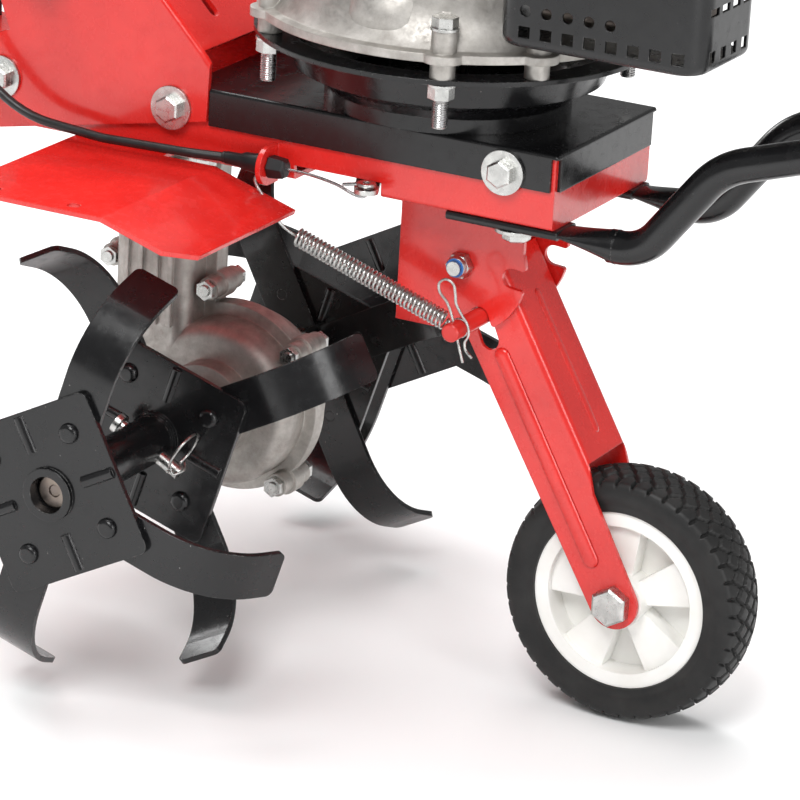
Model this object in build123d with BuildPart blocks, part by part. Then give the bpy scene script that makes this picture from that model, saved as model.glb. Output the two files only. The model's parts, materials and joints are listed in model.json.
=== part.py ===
from build123d import *
import math
import os

# Petrol mini tiller: vertical-shaft engine on a pressed-steel frame, worm gear case with four
# tine rotors, and a swing arm with a transport wheel in front.
# Millimetres. Forward is -Y, the operator's left is +X, up is +Z.
# All outlines below are measured from the datum: the front edge of the engine tray, at its top
# face, on the machine's centre plane. The model's origin is on the ground, under the middle.

# ---- driving dimensions -------------------------------------------------------------------
TRAY_HEIGHT = 321.0          # tray top above the ground
BAR_FRONT = -199.0           # foremost face of the bumper bar
GRIP_REAR = 871.0            # rearmost face of the handle grips
DATUM_Y = -(BAR_FRONT + GRIP_REAR) / 2

TRAY_HALF = 61.0             # engine tray, half its width
TRAY_LENGTH = 222.0
LIP_LENGTH = 206.0           # the side lips end where the tower starts
TRAY_LIP = 20.0
SHEET = 2.0
PLATE = 3.0

FRAME_HALF = 59.0
FRAME_LENGTH = 372.0
FRAME_BOTTOM = -41.0

TOWER_HALF = 62.0
FENDER_OUTER = 180.0
FENDER_SHEET = 2.5

ENGINE_Y = 95.0              # crankshaft axis
ENGINE_BOLT_RADIUS = 98.5
ENGINE_BOLT_ANGLES = (24, 131, 204, 311)
DISH_TOP = 39.0
BASE_FLANGE = 47.7

PIVOT = (67.5, -79.0)        # swing arm pivot (y, z)
AXLE = (-32.5, -251.0)       # wheel axle (y, z)
ARM_HALF = 24.0
ARM_SHEET = 2.5
CHEEK_INNER = 24.4
CHEEK_OUTER = 27.4
NOTCH_RADIUS = 29.6          # lock pin centre from the pivot
NOTCH_LOW = 23.8             # degrees forward of straight down
NOTCH_HIGH = 85.4
NOTCH_HALF = 5.5
LOCK_PIN_R = 5.0

WHEEL_R = 70.0
WHEEL_HALF = 20.0
RIM_R = 46.6
AXLE_R = 6.0

ROTOR = (216.0, -190.5)      # tine shaft axis (y, z)
SHAFT_R = 10.0
HUB_R = 13.0
OUTER_ROTOR_X = 196.0
INNER_ROTOR_X = 88.0
BLADE_WIDTH = 27.0
BLADE_SHEET = 3.0
BLADE_START = 14.5
BLADE_FLAT_END = 66.0
BLADE_BEND_R = 50.0
BLADE_BEND = 68.0
BLADE_TAIL = 14.0
PLATE_SIDE = 90.0
OUTER_PHASE = 17.0
INNER_PHASE = 62.0
RIVET_CIRCLE = 37.5
RIVET_R = 3.0

WORM_Y = 259.0               # worm shaft axis
WHEEL_TEETH = 30
TOOTH_PITCH = 2 * math.pi    # module 2
WORM_PITCH_R = 13.0
WORM_SHAFT_R = 7.0

BELT_Z = -20.0
ENGINE_PULLEY_R = 26.0
DRIVEN_PULLEY_R = 42.0
BELT_IN = 8.4                # belt's inner face, below a pulley's rim
BELT_THICK = 7.0
BELT_HALF = 4.0

TENSIONER_PIVOT = (10.0, 140.0)
TENSIONER_EYE = (-68.0, 106.0)
IDLER_CENTRE = (-7.7, 186.7)
IDLER_R = 10.0

HANDLE_X = 128.0
GRIP_X = 235.0
BAR_R = 11.0
FOLD_AXIS = (514.0, 322.4)

BOLT_R = 4.0
BOLT_FLATS = 13.0
BOLT_HEAD = 5.3
WASHER_R = 12.0


# ---- placing helpers ----------------------------------------------------------------------
def at(x, y, z):
    """A point measured from the datum."""
    return Vector(x, DATUM_Y + y, TRAY_HEIGHT + z)


def side(x):
    """Sketch plane across the machine at x: local axes run rearward and up."""
    return Plane(origin=at(x, 0, 0), x_dir=(0, 1, 0), z_dir=(1, 0, 0))


def level(z, x=0, y=0):
    """Horizontal sketch plane at z, facing up."""
    return Plane(origin=at(x, y, z), x_dir=(1, 0, 0), z_dir=(0, 0, 1))


def facing(origin, direction):
    return Plane(origin=origin, z_dir=direction)


def block(x0, x1, y0, y1, z0, z1, mode=Mode.ADD):
    with Locations(at((x0 + x1) / 2, (y0 + y1) / 2, (z0 + z1) / 2)):
        Box(x1 - x0, y1 - y0, z1 - z0, mode=mode)


def rod(start, direction, length, radius, mode=Mode.ADD):
    with BuildSketch(facing(start, direction)) as section:
        Circle(radius)
    extrude(section.sketch, amount=length, mode=mode)


def hexagon(start, direction, length, flats, mode=Mode.ADD):
    with BuildSketch(facing(start, direction)) as section:
        RegularPolygon(flats / 2, 6, major_radius=False)
    extrude(section.sketch, amount=length, mode=mode)


def pipe(points, radii, outer, bore=0):
    with BuildLine() as route:
        FilletPolyline(*[at(*p) for p in points], radius=radii)
    with BuildSketch(facing(route.line @ 0, route.line % 0)) as section:
        Circle(outer)
        if bore:
            Circle(bore, mode=Mode.SUBTRACT)
    sweep(section.sketch, path=route.wires()[0])


def outline(points):
    with BuildLine() as border:
        Polyline(*points, close=True)
    make_face(border.edges())


def sheet_points(points, thickness):
    """Closed outline of a bent sheet whose one face follows the points."""
    normals = []
    for (a0, b0), (a1, b1) in zip(points, points[1:]):
        run = math.hypot(a1 - a0, b1 - b0)
        normals.append((-(b1 - b0) / run, (a1 - a0) / run))
    back = []
    for i, (a, b) in enumerate(points):
        n0 = normals[max(i - 1, 0)]
        n1 = normals[min(i, len(normals) - 1)]
        k = thickness / (1 + n0[0] * n1[0] + n0[1] * n1[1])
        back.append((a + k * (n0[0] + n1[0]), b + k * (n0[1] + n1[1])))
    return list(points) + back[::-1]


def from_pivot(angle, distance):
    """A point at an angle forward of straight down from the arm's pivot."""
    turn = math.radians(angle)
    return (PIVOT[0] - distance * math.sin(turn), PIVOT[1] - distance * math.cos(turn))


def keep(piece, label):
    piece.part.label = label
    export_step(piece.part, f"parts/{label}.step")


os.makedirs("parts", exist_ok=True)
SIDES = (-1, 1)
LEFTWARD = (1, 0, 0)
LEFT = Vector(*LEFTWARD)
DOWN = (0, 0, -1)
UP = (0, 0, 1)


# ---- engine tray --------------------------------------------------------------------------
with BuildPart() as engine_tray:
    block(-TRAY_HALF, TRAY_HALF, 0, LIP_LENGTH, -SHEET, 0)
    block(-FRAME_HALF, FRAME_HALF, LIP_LENGTH, TRAY_LENGTH, -SHEET, 0)
    for s in SIDES:
        inner, outer = sorted((s * (TRAY_HALF - SHEET), s * TRAY_HALF))
        block(inner, outer, 4, LIP_LENGTH, -TRAY_LIP, -SHEET)
    block(-TRAY_HALF + 5, TRAY_HALF - 5, 0, SHEET, -TRAY_LIP, -SHEET)
    top_edges = engine_tray.edges().filter_by(Axis.Y).group_by(Axis.Z)[-1]
    fillet([e for e in top_edges if abs(abs(e.center().X) - TRAY_HALF) < 0.1], 1.6)
    front_edge = engine_tray.edges().filter_by(Axis.X).group_by(Axis.Z)[-1].sort_by(Axis.Y)[0]
    fillet(front_edge, 1.6)
    rod(at(0, ENGINE_Y, 1), DOWN, 5, 30, Mode.SUBTRACT)
    for s in SIDES:
        rod(at(s * 50, 30.7, -13.5), (s, 0, 0), 20, BOLT_R + 0.3, Mode.SUBTRACT)
keep(engine_tray, "engine_tray")

# ---- frame box ----------------------------------------------------------------------------
SIDE_BOLTS = ((30.7, -13.5), (228.0, -13.5), (335.0, -15.0))   # (y, z) on both flanks
BUMPER_BOLT = (46.0, 28.0)                                     # (x, y), from beneath
HITCH_SPACING = 80.0
HITCH_Z = -22.0

with BuildPart() as frame_box:
    block(-FRAME_HALF, FRAME_HALF, SHEET, FRAME_LENGTH, -SHEET - PLATE, -SHEET)
    for s in SIDES:
        inner, outer = sorted((s * (FRAME_HALF - PLATE), s * FRAME_HALF))
        block(inner, outer, SHEET, FRAME_LENGTH, FRAME_BOTTOM, -SHEET)
        inner, outer = sorted((s * 30, s * (FRAME_HALF - PLATE)))
        block(inner, outer, SHEET, FRAME_LENGTH, FRAME_BOTTOM, FRAME_BOTTOM + PLATE)
    block(-FRAME_HALF, FRAME_HALF, SHEET, SHEET + PLATE, FRAME_BOTTOM, -SHEET)
    block(-FRAME_HALF, FRAME_HALF, FRAME_LENGTH - PLATE, FRAME_LENGTH, FRAME_BOTTOM, -SHEET)
    block(-30, 30, SHEET + PLATE, 108, FRAME_BOTTOM, FRAME_BOTTOM + PLATE)
    block(-30, 30, 225, FRAME_LENGTH - PLATE, FRAME_BOTTOM, FRAME_BOTTOM + PLATE)
    corner_edges = frame_box.edges().filter_by(Axis.Y).group_by(Axis.Z)[0]
    fillet([e for e in corner_edges if abs(abs(e.center().X) - FRAME_HALF) < 0.1], 2.5)
    rod(at(0, ENGINE_Y, 0), DOWN, 8, 30, Mode.SUBTRACT)
    rod(at(0, WORM_Y, -30), DOWN, 20, 16, Mode.SUBTRACT)
    block(-FRAME_HALF - 1, -29, 102, 154, FRAME_BOTTOM - 1, -33, Mode.SUBTRACT)
    rod(at(*TENSIONER_PIVOT, -SHEET - 1), DOWN, 37, 5)
    with BuildSketch(Plane(origin=at(-68, 164, -33), x_dir=(1, 0, 0), z_dir=(0, -1, 0))):
        Circle(10.5)
        with Locations((5, 0)):
            Rectangle(10, 21)
    extrude(amount=-3)
    rod(at(-68, 160, -33), (0, 1, 0), 12, 3.2, Mode.SUBTRACT)
    block(-14, 14, FRAME_LENGTH, 404, -60, -2)
    block(-8.3, 8.3, 379.7, 396.3, -61, 0, Mode.SUBTRACT)
    rod(at(0, 390, -30), (0, 1, 0), 20, 4.06, Mode.SUBTRACT)
    for s in SIDES:
        for y, z in SIDE_BOLTS:
            rod(at(s * 50, y, z), (s, 0, 0), 20, BOLT_R + 0.1, Mode.SUBTRACT)
        rod(at(s * BUMPER_BOLT[0], BUMPER_BOLT[1], -30), DOWN, 20, BOLT_R + 0.1, Mode.SUBTRACT)
        rod(at(s * HITCH_SPACING / 2, 360, HITCH_Z), (0, 1, 0), 20, 4.25, Mode.SUBTRACT)
keep(frame_box, "frame_box")

# ---- handle tower: pressed plates that carry the handle bars -------------------------------
TOWER_SIDE = [(207, -18), (206, 14), (211, 20), (292, 102), (300, 122), (352, 122), (338, 30),
              (331, 12), (352, 4), (352, -47)]
HANDLE_BOLTS = ((313.0, 65.5), (336.0, 96.5))

with BuildPart() as handle_tower:
    for s in SIDES:
        with BuildSketch(side(min(s * TOWER_HALF, s * (TOWER_HALF - PLATE)))):
            outline(TOWER_SIDE)
        extrude(amount=PLATE)
    with BuildSketch(side(-TOWER_HALF + PLATE)):
        outline(sheet_points([(211, 20), (292, 102), (300, 122), (352, 122)], -PLATE))
    extrude(amount=2 * (TOWER_HALF - PLATE))
    ridge = handle_tower.edges().filter_by(lambda e: abs(abs(e.center().X) - TOWER_HALF) < 0.1)
    ridge = [e for e in ridge if e.length > 60 and 40 < e.center().Z - TRAY_HEIGHT < 80]
    fillet([e for e in ridge if e.center().Y < DATUM_Y + 280], 2.6)
    with BuildSketch(Plane(origin=at(-28, 229.5, 38.7), x_dir=(0, 0.7071, 0.7071), z_dir=(0, -0.7071, 0.7071))):
        SlotOverall(22, 8)
    extrude(amount=20, both=True, mode=Mode.SUBTRACT)
    for s in SIDES:
        for y, z in SIDE_BOLTS[1:] + HANDLE_BOLTS:
            rod(at(s * 50, y, z), (s, 0, 0), 20, BOLT_R + 0.1, Mode.SUBTRACT)
keep(handle_tower, "handle_tower")

# ---- wheel bracket: two notched cheeks under the frame -------------------------------------
CHEEK_SECTOR = 37.5
CHEEK_REAR = 105.0
CHEEK_FRONT = 31.0

with BuildPart() as wheel_bracket:
    block(-33, 33, CHEEK_FRONT, CHEEK_REAR, FRAME_BOTTOM - PLATE, FRAME_BOTTOM)
    for s in SIDES:
        with BuildSketch(side(min(s * CHEEK_INNER, s * CHEEK_OUTER))):
            with Locations(PIVOT):
                Circle(CHEEK_SECTOR)
            outline([(PIVOT[0], FRAME_BOTTOM - PLATE), (CHEEK_REAR, FRAME_BOTTOM - PLATE),
                     (CHEEK_REAR, PIVOT[1] - CHEEK_SECTOR), (PIVOT[0], PIVOT[1] - CHEEK_SECTOR)])
            outline([(CHEEK_FRONT + 1, FRAME_BOTTOM - PLATE), (PIVOT[0], FRAME_BOTTOM - PLATE),
                     (PIVOT[0], PIVOT[1]), (CHEEK_FRONT + 1, PIVOT[1] + 3)])
            for angle in (NOTCH_LOW, NOTCH_HIGH):
                with Locations(from_pivot(angle, NOTCH_RADIUS)):
                    Circle(NOTCH_HALF, mode=Mode.SUBTRACT)
                with Locations(Location((*from_pivot(angle, NOTCH_RADIUS + 10), 0), (0, 0, -90 - angle))):
                    Rectangle(20, 2 * NOTCH_HALF, mode=Mode.SUBTRACT)
            with Locations(PIVOT):
                Circle(BOLT_R + 0.1, mode=Mode.SUBTRACT)
        extrude(amount=CHEEK_OUTER - CHEEK_INNER)
    teeth = wheel_bracket.edges().filter_by(Axis.X)
    fillet([e for e in teeth if e.length < 3.1 and e.center().Z - TRAY_HEIGHT < -70
            and e.center().Y - DATUM_Y < 66 and e.center().Z - TRAY_HEIGHT > -116
            and abs(math.hypot(e.center().Y - DATUM_Y - PIVOT[0],
                               e.center().Z - TRAY_HEIGHT - PIVOT[1]) - CHEEK_SECTOR) < 3.0], 1.6)
keep(wheel_bracket, "wheel_bracket")

# ---- bumper bar: one bent tube with flattened ends ------------------------------------------
BUMPER_X = 46.0
BUMPER_R = 9.0
BUMPER_END = 64.0
BUMPER_ROUTE = [(-BUMPER_X, -26, -46), (-BUMPER_X, -44, -46), (-BUMPER_X, -84, 6),
                (-BUMPER_X, BAR_FRONT + BUMPER_R, 40), (BUMPER_X, BAR_FRONT + BUMPER_R, 40),
                (BUMPER_X, -84, 6), (BUMPER_X, -44, -46), (BUMPER_X, -26, -46)]

with BuildPart() as bumper_bar:
    pipe(BUMPER_ROUTE, [26, 44, 36, 36, 44, 26], BUMPER_R, BUMPER_R - 2)
    for s in SIDES:
        with BuildSketch(Plane(origin=at(s * BUMPER_X, -30, -46), x_dir=(1, 0, 0), z_dir=(0, 1, 0))):
            Ellipse(BUMPER_R + 0.3, BUMPER_R + 0.25)
        with BuildSketch(Plane(origin=at(s * BUMPER_X, 0.5, -43.6), x_dir=(1, 0, 0), z_dir=(0, 1, 0))):
            Ellipse(11.6, 2.3)
        loft()
        with BuildSketch(Plane(origin=at(s * BUMPER_X, 0, -43.6), x_dir=(1, 0, 0), z_dir=(0, 1, 0))):
            RectangleRounded(24, 5, 2.2)
        extrude(amount=BUMPER_END)
        rod(at(s * BUMPER_X, BUMPER_BOLT[1], -40), DOWN, 8, BOLT_R + 0.1, Mode.SUBTRACT)
keep(bumper_bar, "bumper_bar")


# ---- frame fasteners -------------------------------------------------------------------------
def hex_bolt(seat, inward, shank, nut_at):
    """Hex bolt: head on the seat, shank going inward, nut after nut_at."""
    outward = (-inward[0], -inward[1], -inward[2])
    with BuildPart() as bolt:
        hexagon(seat, outward, BOLT_HEAD, BOLT_FLATS)
        chamfer(bolt.faces().sort_by(Axis(seat, outward))[-1].edges(), 0.9)
        rod(seat, inward, shank, BOLT_R)
    with BuildPart() as nut:
        start = seat + Vector(*inward) * nut_at
        hexagon(start, inward, 6.5, BOLT_FLATS)
        rod(start, inward, 6.5, BOLT_R + 0.02, Mode.SUBTRACT)
    return [bolt.part, nut.part]


def washer(seat, outward, thickness=2.0):
    with BuildPart() as ring:
        rod(seat, outward, thickness, WASHER_R)
        rod(seat, outward, thickness, BOLT_R + 0.2, Mode.SUBTRACT)
    return ring.part


with BuildPart() as frame_bolts:
    for s in SIDES:
        inward = (-s, 0, 0)
        y, z = SIDE_BOLTS[0]
        add(hex_bolt(at(s * (TRAY_HALF + 2), y, z), inward, 16, TRAY_HALF + 2 - FRAME_HALF + PLATE))
        for y, z in SIDE_BOLTS[1:]:
            add(hex_bolt(at(s * (TOWER_HALF + 2), y, z), inward, 17, 2 * PLATE + 2))
        for y, z in HANDLE_BOLTS:
            add(hex_bolt(at(s * 87, y, z), inward, 36, 87 - TOWER_HALF + PLATE))
        seat = at(s * BUMPER_BOLT[0], BUMPER_BOLT[1], FRAME_BOTTOM - 7.1)
        add(hex_bolt(seat, UP, 18, 7.1 + PLATE))
        outward = (s, 0, 0)
        add(washer(at(s * TRAY_HALF, *SIDE_BOLTS[0]), outward))
        for spot in SIDE_BOLTS[1:]:
            add(washer(at(s * TOWER_HALF, *spot), outward))
        add(washer(at(s * BUMPER_BOLT[0], BUMPER_BOLT[1], FRAME_BOTTOM - 5.1), DOWN))
keep(frame_bolts, "frame_bolts")

# ---- fenders over the tines --------------------------------------------------------------------
FENDER_TOP = [(150, -56), (200, FRAME_BOTTOM), (290, FRAME_BOTTOM), (345, -92)]
FENDER_HOLE = (-68.0, 174.0)
EXTENSION_HOLES = (222.0, 270.0)          # y of the two holes near the outer edge
EXTENSION_X = 170.0


def make_fender(s):
    with BuildPart() as fender:
        with BuildSketch(side(min(s * (TOWER_HALF + 0.5), s * FENDER_OUTER))):
            outline(sheet_points(FENDER_TOP, -FENDER_SHEET))
        extrude(amount=FENDER_OUTER - TOWER_HALF - 0.5)
        near, far = sorted((s * 36, s * (TOWER_HALF + 0.5)))
        block(near, far, 232, 290, FRAME_BOTTOM - FENDER_SHEET, FRAME_BOTTOM)
        with BuildSketch(level(-30)):
            outline([(s * 140, 130), (s * 185, 130), (s * 185, 168)])
        extrude(amount=-40, mode=Mode.SUBTRACT)
        for y in EXTENSION_HOLES:
            rod(at(s * EXTENSION_X, y, -35), DOWN, 12, 3.5, Mode.SUBTRACT)
        rod(at(s * -FENDER_HOLE[0], FENDER_HOLE[1], -40), DOWN, 20, 2.2, Mode.SUBTRACT)
        rod(at(s * 46, 262, -35), DOWN, 12, 3.0, Mode.SUBTRACT)
    return fender


fender_right = make_fender(-1)
keep(fender_right, "fender_right")
fender_left = make_fender(1)
keep(fender_left, "fender_left")

# ---- clutch cable, from the ear on the frame to the lever on the right bar ------------------------
CABLE_ROUTE = [(-68, 190, -33), (-73, 212, -33), (-76, 262, -33.5), (-78, 312, -29), (-82, 350, 2),
               (-84, 371, 62), (-86, 386, 128), (-101, 442, 206), (-124, 504, 284), (-150, 556, 336),
               (-186, 628, 430), (-226, 700, 528), (-235, 729, 559)]
CABLE_R = 2.5

with BuildPart() as clutch_cable:
    pipe(CABLE_ROUTE, [40, 80, 60, 60, 90, 90, 120, 110, 70, 100, 40], CABLE_R)
    rod(at(-68, 158, -33), (0, 1, 0), 34, 3.1)
    rod(at(-68, 167.2, -33), (0, 1, 0), 12, 4.6)
    rod(at(-68, 154, -33), (0, 1, 0), 9.9, 4.6)
keep(clutch_cable, "clutch_cable")

with BuildPart() as cable_wire:
    rod(at(-68, 154, -33), (0, -1, 0), 48, 0.8)
    rod(at(-68, 106, -32.3), DOWN, 7, 0.8)
keep(cable_wire, "cable_wire")

# ---- swing arm of the transport wheel ---------------------------------------------------------------
ARM_LENGTH = math.dist(PIVOT, AXLE)
ARM_DIR = ((AXLE[0] - PIVOT[0]) / ARM_LENGTH, (AXLE[1] - PIVOT[1]) / ARM_LENGTH)
ARM_FRONT = (ARM_DIR[1], -ARM_DIR[0])      # towards the web
WEB_FRONT = 20.0
WEB_TOP = 4.0
WEB_END = 124.0
PRONG_R = 14.0
RIB_START = 50.0
RIB_END = 176.0
RIB_HALF = 3.5
RIB_RISE = 1.2


def arm_point(along, ahead):
    """A side-plane point given along the arm from its pivot and ahead towards the web."""
    return (PIVOT[0] + along * ARM_DIR[0] + ahead * ARM_FRONT[0],
            PIVOT[1] + along * ARM_DIR[1] + ahead * ARM_FRONT[1])


def arm_outline():
    with Locations(AXLE):
        Circle(PRONG_R)
    with Locations(PIVOT):
        Circle(17)
    outline([arm_point(0, -17), arm_point(ARM_LENGTH, -PRONG_R), arm_point(ARM_LENGTH, PRONG_R),
             arm_point(WEB_END + 16, 15.5), arm_point(WEB_END, WEB_FRONT), arm_point(WEB_TOP, WEB_FRONT),
             arm_point(0, 17)])


with BuildPart() as wheel_arm:
    with BuildSketch(side(-ARM_HALF)):
        arm_outline()
    extrude(amount=2 * ARM_HALF)
    web_edges = wheel_arm.edges().filter_by(
        lambda e: abs(abs(e.center().X) - ARM_HALF) < 0.1 and abs(e.length - (WEB_END - WEB_TOP)) < 1)
    fillet(web_edges, 4.5)
    with BuildSketch(side(-ARM_HALF + ARM_SHEET)):
        outline([arm_point(-40, -40), arm_point(ARM_LENGTH + 40, -40), arm_point(ARM_LENGTH + 40, 60),
                 arm_point(WEB_END, 60), arm_point(WEB_END, WEB_FRONT - ARM_SHEET),
                 arm_point(WEB_TOP, WEB_FRONT - ARM_SHEET), arm_point(WEB_TOP, 60), arm_point(-40, 60)])
    extrude(amount=2 * (ARM_HALF - ARM_SHEET), mode=Mode.SUBTRACT)
    rib_middle = arm_point((RIB_START + RIB_END) / 2, -1.5)
    rib_angle = math.degrees(math.atan2(ARM_DIR[1], ARM_DIR[0]))
    for s in SIDES:
        with BuildSketch(side(s * (ARM_HALF - 0.5))):
            with Locations(Location((*rib_middle, 0), (0, 0, rib_angle))):
                SlotOverall(RIB_END - RIB_START, 2 * RIB_HALF)
        extrude(amount=s * (RIB_RISE + 0.5))
        rod(at(s * 18, *AXLE), (s, 0, 0), 10, AXLE_R + 0.05, Mode.SUBTRACT)
        rod(at(s * 18, *PIVOT), (s, 0, 0), 10, BOLT_R + 0.06, Mode.SUBTRACT)
        with BuildSketch(side(s * 18)):
            slot_middle = from_pivot(NOTCH_LOW, NOTCH_RADIUS + 7)
            with Locations(Location((*slot_middle, 0), (0, 0, -90 - NOTCH_LOW))):
                SlotOverall(14 + 2 * LOCK_PIN_R + 0.6, 2 * LOCK_PIN_R + 0.6)
        extrude(amount=s * 10, mode=Mode.SUBTRACT)
keep(wheel_arm, "wheel_arm")

# ---- pivot bolt and its lock nut -----------------------------------------------------------------------
with BuildPart() as pivot_bolt:
    hexagon(at(CHEEK_OUTER, *PIVOT), LEFTWARD, BOLT_HEAD, BOLT_FLATS)
    rod(at(CHEEK_OUTER, *PIVOT), (-1, 0, 0), 2 * CHEEK_OUTER + 10.5, BOLT_R)
keep(pivot_bolt, "pivot_bolt")

with BuildPart() as pivot_nut:
    hexagon(at(-CHEEK_OUTER, *PIVOT), (-1, 0, 0), 6.2, BOLT_FLATS)
    rod(at(-CHEEK_OUTER, *PIVOT), (-1, 0, 0), 8.6, 5.6)
    rod(at(-CHEEK_OUTER, *PIVOT), (-1, 0, 0), 9, BOLT_R + 0.02, Mode.SUBTRACT)
keep(pivot_nut, "pivot_nut")

# ---- lock pin with its hairpin clip and pull-in spring ------------------------------------------------------
LOCK_PIN = from_pivot(NOTCH_LOW, NOTCH_RADIUS)
PIN_HALF = 62.0
CLIP_X = -55.0
CLIP_R = 0.75
CLIP_LEG = (0.30, 0.954)                  # direction of the straight leg (y, z)

with BuildPart() as lock_pin:
    rod(at(-PIN_HALF, *LOCK_PIN), LEFTWARD, 2 * PIN_HALF, LOCK_PIN_R)
    chamfer(lock_pin.edges().sort_by(Axis.X)[0], 0.8)
    chamfer(lock_pin.edges().sort_by(Axis.X)[-1], 0.8)
    with BuildSketch(side(-51.5)):
        with Locations(LOCK_PIN):
            Circle(LOCK_PIN_R + 1)
            Circle(LOCK_PIN_R - 1, mode=Mode.SUBTRACT)
    extrude(amount=3, mode=Mode.SUBTRACT)
    start = at(CLIP_X, LOCK_PIN[0] - 20 * CLIP_LEG[0], LOCK_PIN[1] - 20 * CLIP_LEG[1])
    rod(start, (0, *CLIP_LEG), 40, CLIP_R + 0.05, Mode.SUBTRACT)
keep(lock_pin, "lock_pin")


def clip_leg(t):
    """A point on the clip's straight leg, measured from the lock pin's axis."""
    return (CLIP_X, LOCK_PIN[0] + t * CLIP_LEG[0], LOCK_PIN[1] + t * CLIP_LEG[1])


with BuildPart() as hairpin_clip:
    loop = [clip_leg(-16), clip_leg(14), (CLIP_X, 66, -86), (CLIP_X, 61.5, -80.5), (CLIP_X, 55, -86),
            (CLIP_X, 50, -98), (CLIP_X, 45.5, -106), (CLIP_X, 44, -117)]
    pipe(loop, [2.5, 4, 4, 4, 4, 4], CLIP_R)
keep(hairpin_clip, "hairpin_clip")

SPRING_LOW = (-50.0, 64.0, -104.0)
SPRING_HIGH = (-55.0, 152.0, -73.0)
SPRING_R = 5.0
SPRING_WIRE = 0.65

with BuildPart() as tension_spring:
    axis = at(*SPRING_HIGH) - at(*SPRING_LOW)
    rod(at(*SPRING_LOW), axis, axis.length, SPRING_R)
    rod(at(*SPRING_LOW), axis, axis.length, SPRING_R - 1.3, Mode.SUBTRACT)
    rod(at(*SPRING_LOW), axis, 1.2, SPRING_R)
    rod(at(*SPRING_HIGH) - axis.normalized() * 1.2, axis, 1.2, SPRING_R)
    tail = at(-49.9, LOCK_PIN[0] + 4.8, LOCK_PIN[1] + 0.8)
    rod(tail, at(*SPRING_LOW) - tail, (at(*SPRING_LOW) - tail).length + 0.5, SPRING_WIRE)
    hook = at(-66, 170.5, -55.5)
    rod(at(*SPRING_HIGH), hook - at(*SPRING_HIGH), (hook - at(*SPRING_HIGH)).length, SPRING_WIRE)
keep(tension_spring, "tension_spring")

# ---- transport wheel ---------------------------------------------------------------------------------------------
SPOKES = 5
HUB_OUTER = 15.0

with BuildPart() as wheel_rim:
    with BuildSketch(side(-17)):
        with Locations(AXLE):
            Circle(RIM_R)
            Circle(RIM_R - 5, mode=Mode.SUBTRACT)
    extrude(amount=34)
    for s in SIDES:
        with BuildSketch(side(s * 17)):
            with Locations(AXLE):
                Circle(RIM_R + 3)
                Circle(RIM_R - 5, mode=Mode.SUBTRACT)
        extrude(amount=-s * 2.5)
    rod(at(-20.6, *AXLE), LEFTWARD, 41.2, HUB_OUTER)
    with BuildSketch(side(-2)):
        with Locations(AXLE):
            Circle(RIM_R - 4)
    extrude(amount=4)
    for s in SIDES:
        with BuildSketch(side(0)):
            for i in range(SPOKES):
                turn = 360 / SPOKES * (i + (0.5 if s > 0 else 0)) + 12
                with Locations(Location((*AXLE, 0), (0, 0, turn))):
                    Polygon((10, -6), (RIM_R - 3, -14), (RIM_R - 3, 14), (10, 6), align=None)
        extrude(amount=s * 13)
    rod(at(-25, *AXLE), LEFTWARD, 50, AXLE_R + 0.06, Mode.SUBTRACT)
keep(wheel_rim, "wheel_rim")

with BuildPart() as tyre:
    with BuildSketch(Plane(origin=at(0, *AXLE), x_dir=(1, 0, 0), z_dir=(0, -1, 0))):
        with BuildLine():
            l1 = Line((-14.5, RIM_R), (-14.5, RIM_R + 3))
            l2 = Line(l1 @ 1, (-18.5, RIM_R + 3))
            a1 = ThreePointArc(l2 @ 1, (-WHEEL_HALF, RIM_R + 10), (-17.5, WHEEL_R - 4.5))
            a2 = ThreePointArc(a1 @ 1, (0, WHEEL_R), (17.5, WHEEL_R - 4.5))
            a3 = ThreePointArc(a2 @ 1, (WHEEL_HALF, RIM_R + 10), (18.5, RIM_R + 3))
            l3 = Polyline(a3 @ 1, (14.5, RIM_R + 3), (14.5, RIM_R), (-14.5, RIM_R))
        make_face()
    revolve(axis=Axis(at(0, *AXLE), (1, 0, 0)))
keep(tyre, "tyre")

with BuildPart() as axle_screw:
    hexagon(at(-ARM_HALF, *AXLE), (-1, 0, 0), 7.5, 19)
    chamfer(axle_screw.faces().sort_by(Axis.X)[0].edges(), 1.2)
    rod(at(-ARM_HALF, *AXLE), LEFTWARD, 2 * ARM_HALF + 13, AXLE_R)

with BuildPart() as axle_nut:
    hexagon(at(ARM_HALF, *AXLE), LEFTWARD, 10, 19)
    rod(at(ARM_HALF, *AXLE), LEFTWARD, 10, AXLE_R + 0.02, Mode.SUBTRACT)

with BuildPart() as axle_bolt:
    add([axle_screw.part, axle_nut.part])
keep(axle_bolt, "axle_bolt")

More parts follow.
